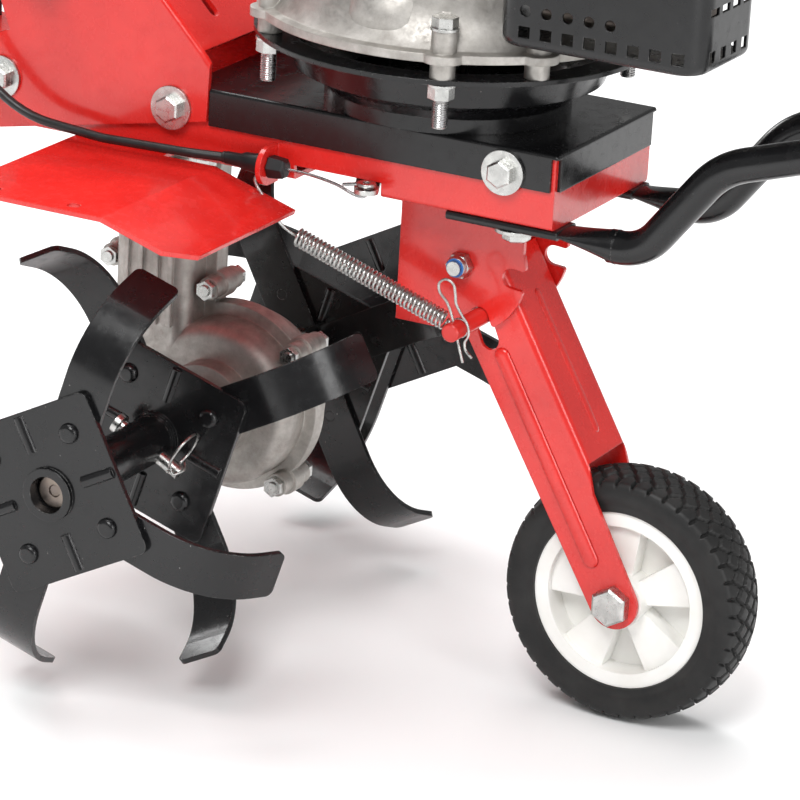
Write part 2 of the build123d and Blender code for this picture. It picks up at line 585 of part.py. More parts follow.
# ---- tine rotors -----------------------------------------------------------------------------------------------
def bent_blade(bend_side):
    """One blade standing up from the shaft, flat face at x = 0, bent towards bend_side."""
    arc = math.radians(BLADE_BEND)
    inner_r = BLADE_BEND_R - BLADE_SHEET

    def bent(radius, turn, tail=0.0):
        r = BLADE_FLAT_END + radius * math.sin(turn) + tail * math.cos(turn)
        x = BLADE_BEND_R - radius * math.cos(turn) + tail * math.sin(turn)
        return (bend_side * x, r)

    with BuildPart() as blade:
        with BuildSketch(Plane.XZ):
            with BuildLine():
                Line((0, BLADE_START), (0, BLADE_FLAT_END))
                ThreePointArc((0, BLADE_FLAT_END), bent(BLADE_BEND_R, arc / 2), bent(BLADE_BEND_R, arc))
                Line(bent(BLADE_BEND_R, arc), bent(BLADE_BEND_R, arc, BLADE_TAIL))
                Line(bent(BLADE_BEND_R, arc, BLADE_TAIL), bent(inner_r, arc, BLADE_TAIL))
                Line(bent(inner_r, arc, BLADE_TAIL), bent(inner_r, arc))
                ThreePointArc(bent(inner_r, arc), bent(inner_r, arc / 2), bent(inner_r, 0))
                Line(bent(inner_r, 0), (bend_side * BLADE_SHEET, BLADE_START))
                Line((bend_side * BLADE_SHEET, BLADE_START), (0, BLADE_START))
            make_face()
        extrude(amount=BLADE_WIDTH / 2, both=True)
        with Locations((0, 0, RIVET_CIRCLE)):
            Cylinder(RIVET_R + 0.02, 20, rotation=(0, 90, 0), mode=Mode.SUBTRACT)
        tip = blade.faces().sort_by(Axis.X)[-1 if bend_side > 0 else 0]
        corners = [e for e in tip.edges() if abs(e.length - BLADE_SHEET) < 0.05]
        fillet(corners, 4)
    return blade.part


def turned(shape, angle, x):
    """Turn a shape that stands up by angle (0 is rearward, 90 is up) and put it on the shaft axis."""
    return shape.rotate(Axis.X, angle - 90).moved(Location(at(x, *ROTOR)))


with BuildPart() as blades_outer:
    for s in SIDES:
        blade = bent_blade(-s)
        for i in range(4):
            add(turned(blade, OUTER_PHASE + 90 * i, s * (OUTER_ROTOR_X - BLADE_SHEET)))
keep(blades_outer, "blades_outer")

with BuildPart() as blades_inner:
    for s in SIDES:
        inward_blade = bent_blade(-s)
        outward_blade = bent_blade(s)
        face = s * (INNER_ROTOR_X - BLADE_SHEET)
        for i in range(2):
            add(turned(inward_blade, INNER_PHASE + 90 + 180 * i, face))
            add(turned(outward_blade, INNER_PHASE + 180 * i, face - s * BLADE_SHEET))
keep(blades_inner, "blades_inner")


def rotor_plate(x, s, phase, hub_from, hub_to, bore):
    """Square plate with pressed creases, on a hub tube that fits the shaft."""
    with BuildPart() as plate:
        with BuildSketch(side(x)):
            with Locations(Location((*ROTOR, 0), (0, 0, phase - 45))):
                RectangleRounded(PLATE_SIDE, PLATE_SIDE, 5)
        extrude(amount=-s * BLADE_SHEET)
        low, high = sorted((hub_from, hub_to))
        rod(at(low, *ROTOR), LEFTWARD, high - low, HUB_R)
        rod(at(min(x, x + s * 2.5), *ROTOR), LEFTWARD, 2.5, HUB_R + 1.5)
        for i in range(4):
            turn = math.radians(phase + 45 + 90 * i)
            along = (0, math.cos(turn), math.sin(turn))
            start = at(x - s * 1.2, *ROTOR) + Vector(*along) * 23
            rod(start, along, 20, 3.4)
        for i in range(4):
            turn = math.radians(phase + 90 * i)
            spot = (ROTOR[0] + RIVET_CIRCLE * math.cos(turn), ROTOR[1] + RIVET_CIRCLE * math.sin(turn))
            rod(at(x - 10, *spot), LEFTWARD, 20, RIVET_R + 0.02, Mode.SUBTRACT)
        rod(at(low - 1, *ROTOR), LEFTWARD, high - low + 10, bore, Mode.SUBTRACT)
    return plate.part


SHAFT_FIT = SHAFT_R + 0.02
PIN_ANGLE = 207.7                           # outer clevis pins, from rearward
PIN_DIR = (0, math.cos(math.radians(PIN_ANGLE)), math.sin(math.radians(PIN_ANGLE)))

with BuildPart() as rotor_plates_outer:
    for s in SIDES:
        add(rotor_plate(s * OUTER_ROTOR_X, s, OUTER_PHASE, s * 93, s * (OUTER_ROTOR_X + 1.5), SHAFT_FIT))
    for s in SIDES:
        rod(at(s * 100, *ROTOR) - Vector(*PIN_DIR) * 30, PIN_DIR, 60, BOLT_R + 0.05, Mode.SUBTRACT)
keep(rotor_plates_outer, "rotor_plates_outer")

with BuildPart() as rotor_plates_inner:
    for s in SIDES:
        add(rotor_plate(s * INNER_ROTOR_X, s, INNER_PHASE, s * 58, s * 92.5, SHAFT_FIT))
    for s in SIDES:
        rod(at(s * 68, ROTOR[0], ROTOR[1] + 30), DOWN, 60, BOLT_R + 0.05, Mode.SUBTRACT)
keep(rotor_plates_inner, "rotor_plates_inner")


def rivet(x, s, angle):
    turn = math.radians(angle)
    y = ROTOR[0] + RIVET_CIRCLE * math.cos(turn)
    z = ROTOR[1] + RIVET_CIRCLE * math.sin(turn)
    with BuildPart() as dome:
        rod(at(x, y, z), (s, 0, 0), 3, 5.5)
        fillet(dome.faces().sort_by(Axis.X)[0 if s < 0 else -1].edges(), 2.6)
        rod(at(x, y, z), (-s, 0, 0), 6, RIVET_R)
    return dome.part


with BuildPart() as rotor_rivets:
    for s in SIDES:
        for i in range(4):
            add(rivet(s * OUTER_ROTOR_X, s, OUTER_PHASE + 90 * i))
            add(rivet(s * INNER_ROTOR_X, s, INNER_PHASE + 90 * i))
keep(rotor_rivets, "rotor_rivets")

with BuildPart() as tine_shaft:
    rod(at(-150, *ROTOR), LEFTWARD, 300, SHAFT_R)
    chamfer(tine_shaft.edges().group_by(Axis.X)[0], 1)
    chamfer(tine_shaft.edges().group_by(Axis.X)[-1], 1)
    for s in SIDES:
        rod(at(s * 100, *ROTOR) - Vector(*PIN_DIR) * 30, PIN_DIR, 60, BOLT_R + 0.05, Mode.SUBTRACT)
        rod(at(s * 68, ROTOR[0], ROTOR[1] + 30), DOWN, 60, BOLT_R + 0.05, Mode.SUBTRACT)
keep(tine_shaft, "tine_shaft")

with BuildPart() as clevis_pins:
    for s in SIDES:
        rod(at(s * 100, *ROTOR) - Vector(*PIN_DIR) * 15.5, PIN_DIR, 42, BOLT_R)
        rod(at(s * 100, *ROTOR) - Vector(*PIN_DIR) * 19, PIN_DIR, 3.5, 6)
        rod(at(s * 68, ROTOR[0], ROTOR[1] + 15.5), DOWN, 34, BOLT_R)
        rod(at(s * 68, ROTOR[0], ROTOR[1] + 19), DOWN, 3.5, 6)
        rod(at(s * 100 - 8, *ROTOR) + Vector(*PIN_DIR) * 22, LEFTWARD, 16, 0.9, Mode.SUBTRACT)
keep(clevis_pins, "clevis_pins")

PIN_SIDE = (0, PIN_DIR[2], -PIN_DIR[1])     # across the pin, square to the shaft

with BuildPart() as pin_clips:
    for s in SIDES:
        hole = at(s * 100, *ROTOR) + Vector(*PIN_DIR) * 22
        across = Vector(*PIN_SIDE)
        with BuildLine() as route:
            FilletPolyline(hole + LEFT * -7.5, hole + LEFT * 7.5, hole + LEFT * 7.5 + across * 24,
                           hole + LEFT * -7.5 + across * 24, hole + LEFT * -7.5 + across * 4, radius=3)
        with BuildSketch(facing(route.line @ 0, route.line % 0)) as section:
            Circle(0.8)
        sweep(section.sketch, path=route.wires()[0])
keep(pin_clips, "pin_clips")

# ---- worm gear set ------------------------------------------------------------------------------------------------
WHEEL_PITCH_R = WHEEL_TEETH * TOOTH_PITCH / (2 * math.pi)
WHEEL_TIP_R = WHEEL_PITCH_R + 2.0
WHEEL_ROOT_R = WHEEL_PITCH_R - 2.6
WHEEL_FACE = 12.0
WORM_TIP_R = WORM_PITCH_R + 1.8
WORM_ROOT_R = WORM_PITCH_R - 2.6
WORM_TURNS = 5

with BuildPart() as worm_wheel:
    with BuildSketch(side(-WHEEL_FACE / 2)):
        with Locations(ROTOR):
            Circle(WHEEL_TIP_R)
            Circle(SHAFT_FIT, mode=Mode.SUBTRACT)
        for i in range(WHEEL_TEETH):
            # a tooth gap faces the worm, at angle 0
            with Locations(Location((*ROTOR, 0), (0, 0, 360 / WHEEL_TEETH * i))):
                Polygon((WHEEL_ROOT_R, -1.1), (WHEEL_TIP_R + 1, -2.7), (WHEEL_TIP_R + 1, 2.7),
                        (WHEEL_ROOT_R, 1.1), align=None, mode=Mode.SUBTRACT)
    extrude(amount=WHEEL_FACE)
    for s in SIDES:
        with BuildSketch(side(s * WHEEL_FACE / 2)):
            with Locations(ROTOR):
                Circle(16)
                Circle(SHAFT_FIT, mode=Mode.SUBTRACT)
        extrude(amount=s * 3)
keep(worm_wheel, "worm_wheel")

WORM_LENGTH = TOOTH_PITCH * WORM_TURNS
THREAD_START = ROTOR[1] - WORM_LENGTH / 2 - TOOTH_PITCH / 4   # puts the thread in the wheel's gap
with BuildPart() as worm_shaft:
    rod(at(0, WORM_Y, ROTOR[1] - WORM_LENGTH / 2 - 4), UP, WORM_LENGTH + 8, WORM_ROOT_R)
    rod(at(0, WORM_Y, -236), UP, 236 - 9, WORM_SHAFT_R)
    with BuildLine():
        Helix(TOOTH_PITCH, WORM_LENGTH, WORM_ROOT_R, center=at(0, WORM_Y, THREAD_START))
    with BuildSketch(Plane(origin=at(WORM_ROOT_R, WORM_Y, THREAD_START),
                           x_dir=(1, 0, 0), z_dir=(0, 1, 0))):
        with BuildLine():
            Polyline((-0.6, -1.9), (WORM_TIP_R - WORM_ROOT_R, -0.7), (WORM_TIP_R - WORM_ROOT_R, 0.7),
                     (-0.6, 1.9), close=True)
        make_face()
    sweep(is_frenet=True)
keep(worm_shaft, "worm_shaft")

with BuildPart() as driven_pulley:
    with BuildSketch(Plane(origin=at(0, WORM_Y, BELT_Z), x_dir=(1, 0, 0), z_dir=(0, -1, 0))):
        outline([(WORM_SHAFT_R, -7.5), (DRIVEN_PULLEY_R, -7.5), (DRIVEN_PULLEY_R, -5.2),
                 (DRIVEN_PULLEY_R - 9.5, -4.5), (DRIVEN_PULLEY_R - 9.5, 4.5), (DRIVEN_PULLEY_R, 5.2),
                 (DRIVEN_PULLEY_R, 7.5), (30, 7.5), (28, 3), (14, 3), (13, 10), (WORM_SHAFT_R, 10)])
    revolve(axis=Axis(at(0, WORM_Y, 0), (0, 0, 1)))
    with Locations(at(0, WORM_Y, BELT_Z)):
        with PolarLocations(21, 5):
            Cylinder(4.5, 40, mode=Mode.SUBTRACT)
keep(driven_pulley, "driven_pulley")

# ---- crankshaft, engine pulley, belt and tensioner -------------------------------------------------------------
CRANK_R = 9.5
SHROUD_TOP = 205.0

with BuildPart() as crankshaft:
    rod(at(0, ENGINE_Y, -36), UP, 36 + 152, CRANK_R)
    rod(at(0, ENGINE_Y, 152), UP, 8, 22)
    rod(at(0, ENGINE_Y, 160), UP, 6, 84)
    rod(at(0, ENGINE_Y, 160), UP, 20, 58)
    rod(at(0, ENGINE_Y, 166), UP, 20, 46, Mode.SUBTRACT)
    with Locations(at(0, ENGINE_Y, 173)):
        with PolarLocations(68.5, 14):
            Box(26, 3, 16)
keep(crankshaft, "crankshaft")

with BuildPart() as engine_pulley:
    with BuildSketch(Plane(origin=at(0, ENGINE_Y, BELT_Z), x_dir=(1, 0, 0), z_dir=(0, -1, 0))):
        outline([(CRANK_R, -12), (14, -12), (14, -7.5), (ENGINE_PULLEY_R, -7.5), (ENGINE_PULLEY_R, -5.2),
                 (ENGINE_PULLEY_R - 9.5, -4.5), (ENGINE_PULLEY_R - 9.5, 4.5), (ENGINE_PULLEY_R, 5.2),
                 (ENGINE_PULLEY_R, 7.5), (CRANK_R, 7.5)])
    revolve(axis=Axis(at(0, ENGINE_Y, 0), (0, 0, 1)))
keep(engine_pulley, "engine_pulley")


def belt_loop(inset):
    """Hull of two circles, as deep under each pulley's rim as the inset says."""
    with BuildSketch(level(BELT_Z)) as loop:
        with Locations((0, ENGINE_Y)):
            Circle(ENGINE_PULLEY_R - inset)
        with Locations((0, WORM_Y)):
            Circle(DRIVEN_PULLEY_R - inset)
        make_hull()
    return loop.sketch


with BuildPart() as drive_belt:
    extrude(belt_loop(BELT_IN - BELT_THICK), amount=BELT_HALF, both=True)
    extrude(belt_loop(BELT_IN), amount=BELT_HALF + 1, both=True, mode=Mode.SUBTRACT)
keep(drive_belt, "drive_belt")

ARM_LOW = -37.0
ARM_HIGH = -34.3


def bar_between(a, b, width):
    """Round-ended strap in plan view."""
    middle = ((a[0] + b[0]) / 2, (a[1] + b[1]) / 2)
    turn = math.degrees(math.atan2(b[1] - a[1], b[0] - a[0]))
    with Locations(Location((*middle, 0), (0, 0, turn))):
        SlotOverall(math.dist(a, b) + width, width)


with BuildPart() as tensioner_arm:
    with BuildSketch(level(ARM_LOW)):
        bar_between(TENSIONER_PIVOT, TENSIONER_EYE, 13)
        bar_between(TENSIONER_PIVOT, IDLER_CENTRE, 14)
        with Locations(TENSIONER_PIVOT):
            Circle(10)
        with Locations(TENSIONER_EYE):
            Circle(2.2, mode=Mode.SUBTRACT)
    extrude(amount=ARM_HIGH - ARM_LOW)
    rod(at(*TENSIONER_PIVOT, ARM_LOW), UP, 27, 9)
    rod(at(*TENSIONER_PIVOT, ARM_LOW - 1), UP, 40, 5.06, Mode.SUBTRACT)
    rod(at(*IDLER_CENTRE, ARM_HIGH), UP, 4, 6)
    rod(at(*IDLER_CENTRE, ARM_HIGH), UP, 21, 3.5)
keep(tensioner_arm, "tensioner_arm")

with BuildPart() as idler_pulley:
    rod(at(*IDLER_CENTRE, BELT_Z - 9), UP, 16, IDLER_R)
    with BuildSketch(level(BELT_Z - 5)):
        with Locations(IDLER_CENTRE):
            Circle(IDLER_R + 1)
            Circle(IDLER_R - 0.8, mode=Mode.SUBTRACT)
    extrude(amount=9.5, mode=Mode.SUBTRACT)
    rod(at(*IDLER_CENTRE, BELT_Z - 12), UP, 30, 3.56, Mode.SUBTRACT)
keep(idler_pulley, "idler_pulley")

# ---- worm gear case: two cast halves -------------------------------------------------------------------------------
CASE_HALF = 26.0
CASE_R = 47.0
FLANGE_OUT = 7.0
FLANGE_HALF = 5.0
NECK_HALF = 24.0
CASE_TOP = FRAME_BOTTOM
CASE_BOLTS = ((228.0, -128.0), (174.0, -156.0), (180.0, -233.0), (276.0, -241.0), (290.0, -120.0),
              (290.0, -170.0))
BEARING_R = 21.0


def case_outline(grow):
    with Locations(ROTOR):
        Circle(CASE_R + grow)
    with Locations((WORM_Y, -214)):
        Circle(NECK_HALF + grow)
    outline([(WORM_Y - NECK_HALF - grow, CASE_TOP - 8), (WORM_Y + NECK_HALF + grow, CASE_TOP - 8),
             (WORM_Y + NECK_HALF + grow, -214), (WORM_Y - NECK_HALF - grow, -214)])


def make_case(s):
    with BuildPart() as half:
        with BuildSketch(side(0)):
            case_outline(0)
        extrude(amount=s * CASE_HALF)
        outer_face = half.faces().sort_by(Axis.X)[0 if s < 0 else -1]
        fillet(outer_face.edges(), 9)
        with BuildSketch(side(0)):
            case_outline(FLANGE_OUT)
            for spot in CASE_BOLTS:
                with Locations(spot):
                    Circle(8)
        extrude(amount=s * FLANGE_HALF)
        for y, z in CASE_BOLTS:
            rod(at(0, y, z), (s, 0, 0), 14, 6.5)
        rod(at(0, *ROTOR), (s, 0, 0), 38, 27)
        rod(at(0, *ROTOR), (s, 0, 0), 46, 19)
        for offset in (-14, -5, 5, 14):
            low, high = sorted((s * (CASE_HALF - 1), s * (CASE_HALF + 2)))
            block(low, high, WORM_Y + offset - 1.5, WORM_Y + offset + 1.5, -150, CASE_TOP - 12)
        low, high = sorted((0, s * 34))
        block(low, high, WORM_Y - 38, WORM_Y + 38, CASE_TOP - 8, CASE_TOP)
        # hollow inside
        with BuildSketch(side(0)):
            with Locations(ROTOR):
                Circle(36)
        extrude(amount=s * 12, mode=Mode.SUBTRACT)
        rod(at(0, *ROTOR), (s, 0, 0), 32, BEARING_R, Mode.SUBTRACT)
        rod(at(0, *ROTOR), (s, 0, 0), 60, SHAFT_R + 0.4, Mode.SUBTRACT)
        rod(at(0, WORM_Y, -214), UP, 60, 17, Mode.SUBTRACT)
        rod(at(0, WORM_Y, -232), UP, 220, WORM_SHAFT_R + 0.06, Mode.SUBTRACT)
        rod(at(0, WORM_Y, -238.5), UP, 10, 9, Mode.SUBTRACT)
        for y, z in CASE_BOLTS:
            rod(at(-20 * s, y, z), (s, 0, 0), 60, 3.1, Mode.SUBTRACT)
    return half


gearcase_right = make_case(-1)
keep(gearcase_right, "gearcase_right")
gearcase_left = make_case(1)
keep(gearcase_left, "gearcase_left")

with BuildPart() as gearcase_bolts:
    for y, z in CASE_BOLTS:
        hexagon(at(-14, y, z), (-1, 0, 0), 4.5, 10)
        rod(at(-14, y, z), LEFTWARD, 34, 3)
        rod(at(-17.5, y, z), (-1, 0, 0), 2.2, 3.2)
        hexagon(at(14, y, z), LEFTWARD, 5, 10)
    for s in SIDES:
        for y in (WORM_Y - 31, WORM_Y + 31):
            hexagon(at(s * 26, y, CASE_TOP - 8), DOWN, 5, BOLT_FLATS)
keep(gearcase_bolts, "gearcase_bolts")

with BuildPart() as tine_bearings:
    for s in SIDES:
        rod(at(s * 18, *ROTOR), (s, 0, 0), 13, BEARING_R - 0.02)
        rod(at(s * 18, *ROTOR), (s, 0, 0), 13, SHAFT_R + 0.04, Mode.SUBTRACT)
        with BuildSketch(side(s * 18)):
            with Locations(ROTOR):
                Circle(17.6)
                Circle(13.4, mode=Mode.SUBTRACT)
        extrude(amount=s * 0.8, mode=Mode.SUBTRACT)
keep(tine_bearings, "tine_bearings")

# ---- engine: mounting dish, base casting, cylinder -------------------------------------------------------------------
with BuildPart() as engine_dish:
    with BuildSketch(Plane(origin=at(0, ENGINE_Y, 0), x_dir=(1, 0, 0), z_dir=(0, -1, 0))):
        outline([(31, 0), (66, 0), (66, 8), (70, 13), (83, 19), (88.5, 34), (90.5, 36.2), (105, 36.4),
                 (105, DISH_TOP), (88, DISH_TOP - 0.4), (80.8, 21.6), (67.5, 15.6), (63.4, 9.5),
                 (63.4, 2.5), (31, 2.5)])
    revolve(axis=Axis(at(0, ENGINE_Y, 0), (0, 0, 1)))
    with Locations(at(0, ENGINE_Y, DISH_TOP)):
        for angle in ENGINE_BOLT_ANGLES:
            with PolarLocations(ENGINE_BOLT_RADIUS, 1, start_angle=angle):
                Cylinder(BOLT_R + 0.1, 20, mode=Mode.SUBTRACT)
keep(engine_dish, "engine_dish")

BASE_TOP = 92.0
BOSS_TOP = 64.0

with BuildPart() as engine_base:
    with BuildSketch(Plane(origin=at(0, ENGINE_Y, 0), x_dir=(1, 0, 0), z_dir=(0, -1, 0))):
        with BuildLine():
            Polyline((12, BASE_FLANGE), (104, BASE_FLANGE), (104, BASE_FLANGE + 4.5), (99, 53))
            ThreePointArc((99, 53), (90.6, 64), (87, 77))
            Polyline((87, 77), (87, BASE_TOP), (12, BASE_TOP), (12, 88), (80, 88), (82, 52), (12, 52),
                     (12, BASE_FLANGE))
        make_face()
    revolve(axis=Axis(at(0, ENGINE_Y, 0), (0, 0, 1)))
    for angle in ENGINE_BOLT_ANGLES + (233,):
        turn = math.radians(angle)
        x = ENGINE_BOLT_RADIUS * math.cos(turn)
        y = ENGINE_Y + ENGINE_BOLT_RADIUS * math.sin(turn)
        rod(at(x, y, DISH_TOP), UP, BOSS_TOP - DISH_TOP, 6.6)
        with BuildSketch(level(BASE_FLANGE)):
            with Locations((x, y)):
                Circle(11)
        extrude(amount=4.5)
        if angle != 233:
            rod(at(x, y, DISH_TOP - 1), UP, 40, BOLT_R + 0.1, Mode.SUBTRACT)
    rod(at(0, ENGINE_Y, BASE_FLANGE - 1), UP, 60, 12, Mode.SUBTRACT)
    rod(at(0, ENGINE_Y, BASE_TOP), UP, 56, 62)
    rod(at(0, ENGINE_Y, BASE_TOP - 10), UP, 100, CRANK_R + 0.4, Mode.SUBTRACT)
keep(engine_base, "engine_base")

with BuildPart() as engine_bolts:
    for angle in ENGINE_BOLT_ANGLES:
        turn = math.radians(angle)
        x = ENGINE_BOLT_RADIUS * math.cos(turn)
        y = ENGINE_Y + ENGINE_BOLT_RADIUS * math.sin(turn)
        rod(at(x, y, BOSS_TOP), UP, 1.6, 7.4)
        hexagon(at(x, y, BOSS_TOP + 1.6), UP, 5.4, 12)
        rod(at(x, y, 12.6), UP, BOSS_TOP - 12, 3.8)
        rod(at(x, y, 36.1), DOWN, 1.6, 7.4)
        hexagon(at(x, y, 34.5), DOWN, 6.5, 12)
keep(engine_bolts, "engine_bolts")

CYLINDER_X = 12.0
CYLINDER_Z = 126.0
FIN_PITCH = 7.0

with BuildPart() as cylinder:
    block(CYLINDER_X - 28, CYLINDER_X + 28, -86, 34, CYLINDER_Z - 27, CYLINDER_Z + 27)
    for i in range(15):
        y = 22 - FIN_PITCH * i
        block(CYLINDER_X - 37, CYLINDER_X + 37, y, y + 2, CYLINDER_Z - 32, CYLINDER_Z + 27.5)
    block(CYLINDER_X - 37, CYLINDER_X + 37, -98, -78, CYLINDER_Z - 32, CYLINDER_Z + 27.5)
    rod(at(0, ENGINE_Y, 80), UP, 120, 62.3, Mode.SUBTRACT)
    rod(at(CYLINDER_X + 6, -98, CYLINDER_Z + 8), (0, -1, 0), 14, 9)
    rod(at(CYLINDER_X + 6, -112, CYLINDER_Z + 8), (0, -1, 0), 16, 5.5)
keep(cylinder, "cylinder")

# ---- muffler guard: perforated box beside the cylinder ------------------------------------------------------------------
GUARD_X = (-100.0, -27.0)
GUARD_Y = (-90.0, 24.0)
GUARD_Z = (64.0, 148.0)
GUARD_WALL = 1.6
GUARD_HOLES_Z = 84.0

with BuildPart() as muffler_guard:
    block(*GUARD_X, *GUARD_Y, *GUARD_Z)
    fillet(muffler_guard.edges().filter_by(Axis.Z), 15)
    fillet(muffler_guard.faces().sort_by(Axis.Z)[-1].edges(), 8)
    fillet(muffler_guard.faces().sort_by(Axis.Z)[0].edges(), 5)
    hollow = (GUARD_X[1] - GUARD_X[0] - GUARD_WALL, GUARD_Y[1] - GUARD_Y[0] - 2 * GUARD_WALL)
    middle = (GUARD_X[0] + GUARD_WALL + hollow[0] / 2, sum(GUARD_Y) / 2)
    with BuildSketch(level(GUARD_Z[0] + GUARD_WALL)):
        with Locations(middle):
            RectangleRounded(*hollow, 13.4)
    extrude(amount=GUARD_Z[1] - GUARD_Z[0] - 4 * GUARD_WALL, mode=Mode.SUBTRACT)
    block(GUARD_X[1] - 20, GUARD_X[1] + 5, GUARD_Y[0] + 5, GUARD_Y[1] - 5, GUARD_Z[0] + 3, GUARD_Z[1] - 9,
          Mode.SUBTRACT)
    rod(at(0, ENGINE_Y, GUARD_Z[0] - 4), UP, BASE_TOP - GUARD_Z[0] + 6, 93, Mode.SUBTRACT)
    for i in range(5):
        rod(at(GUARD_X[0] - 5, 6 - 11.7 * i, GUARD_HOLES_Z), LEFTWARD, 15, 2.9, Mode.SUBTRACT)
    for i in range(8):
        y = 6 - 12.0 * i
        block(GUARD_X[0] - 5, GUARD_X[0] + 10, y - 3.2, y + 3.2, GUARD_Z[0] + 6, GUARD_Z[0] + 12, Mode.SUBTRACT)
    for i in range(4):
        x = -84 + 13.0 * i
        block(x - 3.2, x + 3.2, GUARD_Y[0] - 5, GUARD_Y[0] + 10, GUARD_Z[0] + 6, GUARD_Z[0] + 12, Mode.SUBTRACT)
        for j in range(4):
            z = 96 + 12.0 * j
            block(x - 4.5, x + 4.5, GUARD_Y[0] - 5, GUARD_Y[0] + 10, z - 2, z + 2, Mode.SUBTRACT)
keep(muffler_guard, "muffler_guard")

with BuildPart() as muffler:
    block(-90, -40, -76, 12, 76, 136)
    fillet(muffler.edges(), 9)
    rod(at(-42, -40, 108), LEFTWARD, 17, 9)
keep(muffler, "muffler")

# ---- blower shroud, recoil starter, tank, air filter -------------------------------------------------------------------
SHROUD_BASE = 154.0

with BuildPart() as blower_shroud:
    with BuildSketch(level(SHROUD_BASE)):
        with Locations((0, ENGINE_Y)):
            Circle(104)
        outline([(-30, 95), (60, 95), (58, -104), (-20, -104)])
    extrude(amount=SHROUD_TOP - SHROUD_BASE)
    fillet(blower_shroud.edges().filter_by(Axis.Z), 8)
    fillet(blower_shroud.faces().sort_by(Axis.Z)[-1].edges(), 12)
    offset(amount=-2.5, openings=blower_shroud.faces().sort_by(Axis.Z)[0])
    rod(at(0, ENGINE_Y, 180), UP, 60, 66, Mode.SUBTRACT)
keep(blower_shroud, "blower_shroud")

with BuildPart() as recoil_cover:
    with BuildSketch(Plane(origin=at(0, ENGINE_Y, SHROUD_TOP), x_dir=(1, 0, 0), z_dir=(0, -1, 0))):
        with BuildLine():
            Polyline((0, 40), (0, 37.5), (58, 37.5), (70, 26), (76, 0), (79, 0), (73, 28))
            ThreePointArc((73, 28), (67, 37), (56, 40))
            Line((56, 40), (0, 40))
        make_face()
    revolve(axis=Axis(at(0, ENGINE_Y, 0), (0, 0, 1)))
    with Locations(at(0, ENGINE_Y, SHROUD_TOP + 38)):
        with PolarLocations(45, 18):
            Box(22, 5, 12, mode=Mode.SUBTRACT)
    block(-14, 14, ENGINE_Y + 60, ENGINE_Y + 80, SHROUD_TOP + 3, SHROUD_TOP + 26)
    rod(at(0, ENGINE_Y + 40, SHROUD_TOP + 14), (0, 1, 0), 60, 4, Mode.SUBTRACT)
keep(recoil_cover, "recoil_cover")

with BuildPart() as starter_handle:
    block(-32, 32, ENGINE_Y + 84, ENGINE_Y + 100, SHROUD_TOP + 6, SHROUD_TOP + 22)
    fillet(starter_handle.edges().filter_by(Axis.X), 6)
    rod(at(0, ENGINE_Y + 80.5, SHROUD_TOP + 14), (0, 1, 0), 6, 7)
keep(starter_handle, "starter_handle")

with BuildPart() as fuel_tank:
    block(106, 172, 22, 160, 88, 186)
    fillet(fuel_tank.edges().filter_by(Axis.Z), 18)
    fillet(fuel_tank.faces().sort_by(Axis.Z)[-1].edges(), 10)
    fillet(fuel_tank.faces().sort_by(Axis.Z)[0].edges(), 8)
    rod(at(139, 110, 180), UP, 16, 17)
keep(fuel_tank, "fuel_tank")

with BuildPart() as fuel_cap:
    rod(at(139, 110, 197), UP, 16, 23)
    with Locations(at(139, 110, 206)):
        with PolarLocations(24.2, 16):
            Cylinder(2.2, 22, mode=Mode.SUBTRACT)
    chamfer(fuel_cap.faces().sort_by(Axis.Z)[-1].edges().filter_by(GeomType.CIRCLE), 0.8)
keep(fuel_cap, "fuel_cap")

with BuildPart() as air_filter:
    block(54, 118, -92, 8, 90, 150)
    fillet(air_filter.edges().filter_by(Axis.Y), 12)
    fillet(air_filter.faces().sort_by(Axis.Y)[0].edges(), 7)
    rod(at(86, 8, 118), (0, 1, 0), 16, 15)
    for i in range(5):
        block(60, 112, -84 + 16 * i, -79 + 16 * i, 149, 151.2)
keep(air_filter, "air_filter")

# ---- handle bars --------------------------------------------------------------------------------------------------------
LOWER_ROUTE = [(74, 300, 47), (74, 352, 118), (HANDLE_X, 524, 335)]
UPPER_BEND = (168, 590, 418)
GRIP_BEND = (GRIP_X, 690, 575)
GRIP_END = (GRIP_X, GRIP_REAR - 7.65, 638)
UPPER_ROUTE = [(152, 500, 304.7), UPPER_BEND, GRIP_BEND, GRIP_END]
CROSS_SHARE = 0.6            # place of the cross tube between the two bends

with BuildPart() as handle_lower:
    for s in SIDES:
        pipe([(s * x, y, z) for x, y, z in LOWER_ROUTE], 80, BAR_R, BAR_R - 1.6)
        for y, z in HANDLE_BOLTS:
            rod(at(s * 60, y, z), (s, 0, 0), 30, BOLT_R + 0.1, Mode.SUBTRACT)
        rod(at(s * 100, *FOLD_AXIS), (s, 0, 0), 45, BOLT_R + 0.1, Mode.SUBTRACT)
keep(handle_lower, "handle_lower")

with BuildPart() as handle_upper:
    for s in SIDES:
        pipe([(s * x, y, z) for x, y, z in UPPER_ROUTE], [120, 90], BAR_R, BAR_R - 1.6)
    cross = [a + CROSS_SHARE * (b - a) for a, b in zip(UPPER_BEND, GRIP_BEND)]
    rod(at(-cross[0] + 8, *cross[1:]), LEFTWARD, 2 * cross[0] - 16, 9)
    for s in SIDES:
        rod(at(s * 140, *FOLD_AXIS), (s, 0, 0), 45, BOLT_R + 0.1, Mode.SUBTRACT)
keep(handle_upper, "handle_upper")

with BuildPart() as fold_knobs:
    for s in SIDES:
        rod(at(s * 110, *FOLD_AXIS), (s, 0, 0), 58, BOLT_R)
        hexagon(at(s * 112.2, *FOLD_AXIS), (-s, 0, 0), 5.3, BOLT_FLATS)
        rod(at(s * 167, *FOLD_AXIS), (s, 0, 0), 12, 9)
        with BuildSketch(side(s * 172)):
            with Locations(FOLD_AXIS):
                Circle(14)
                with PolarLocations(15, 6):
                    Circle(5.5)
        extrude(amount=s * 14)
keep(fold_knobs, "fold_knobs")

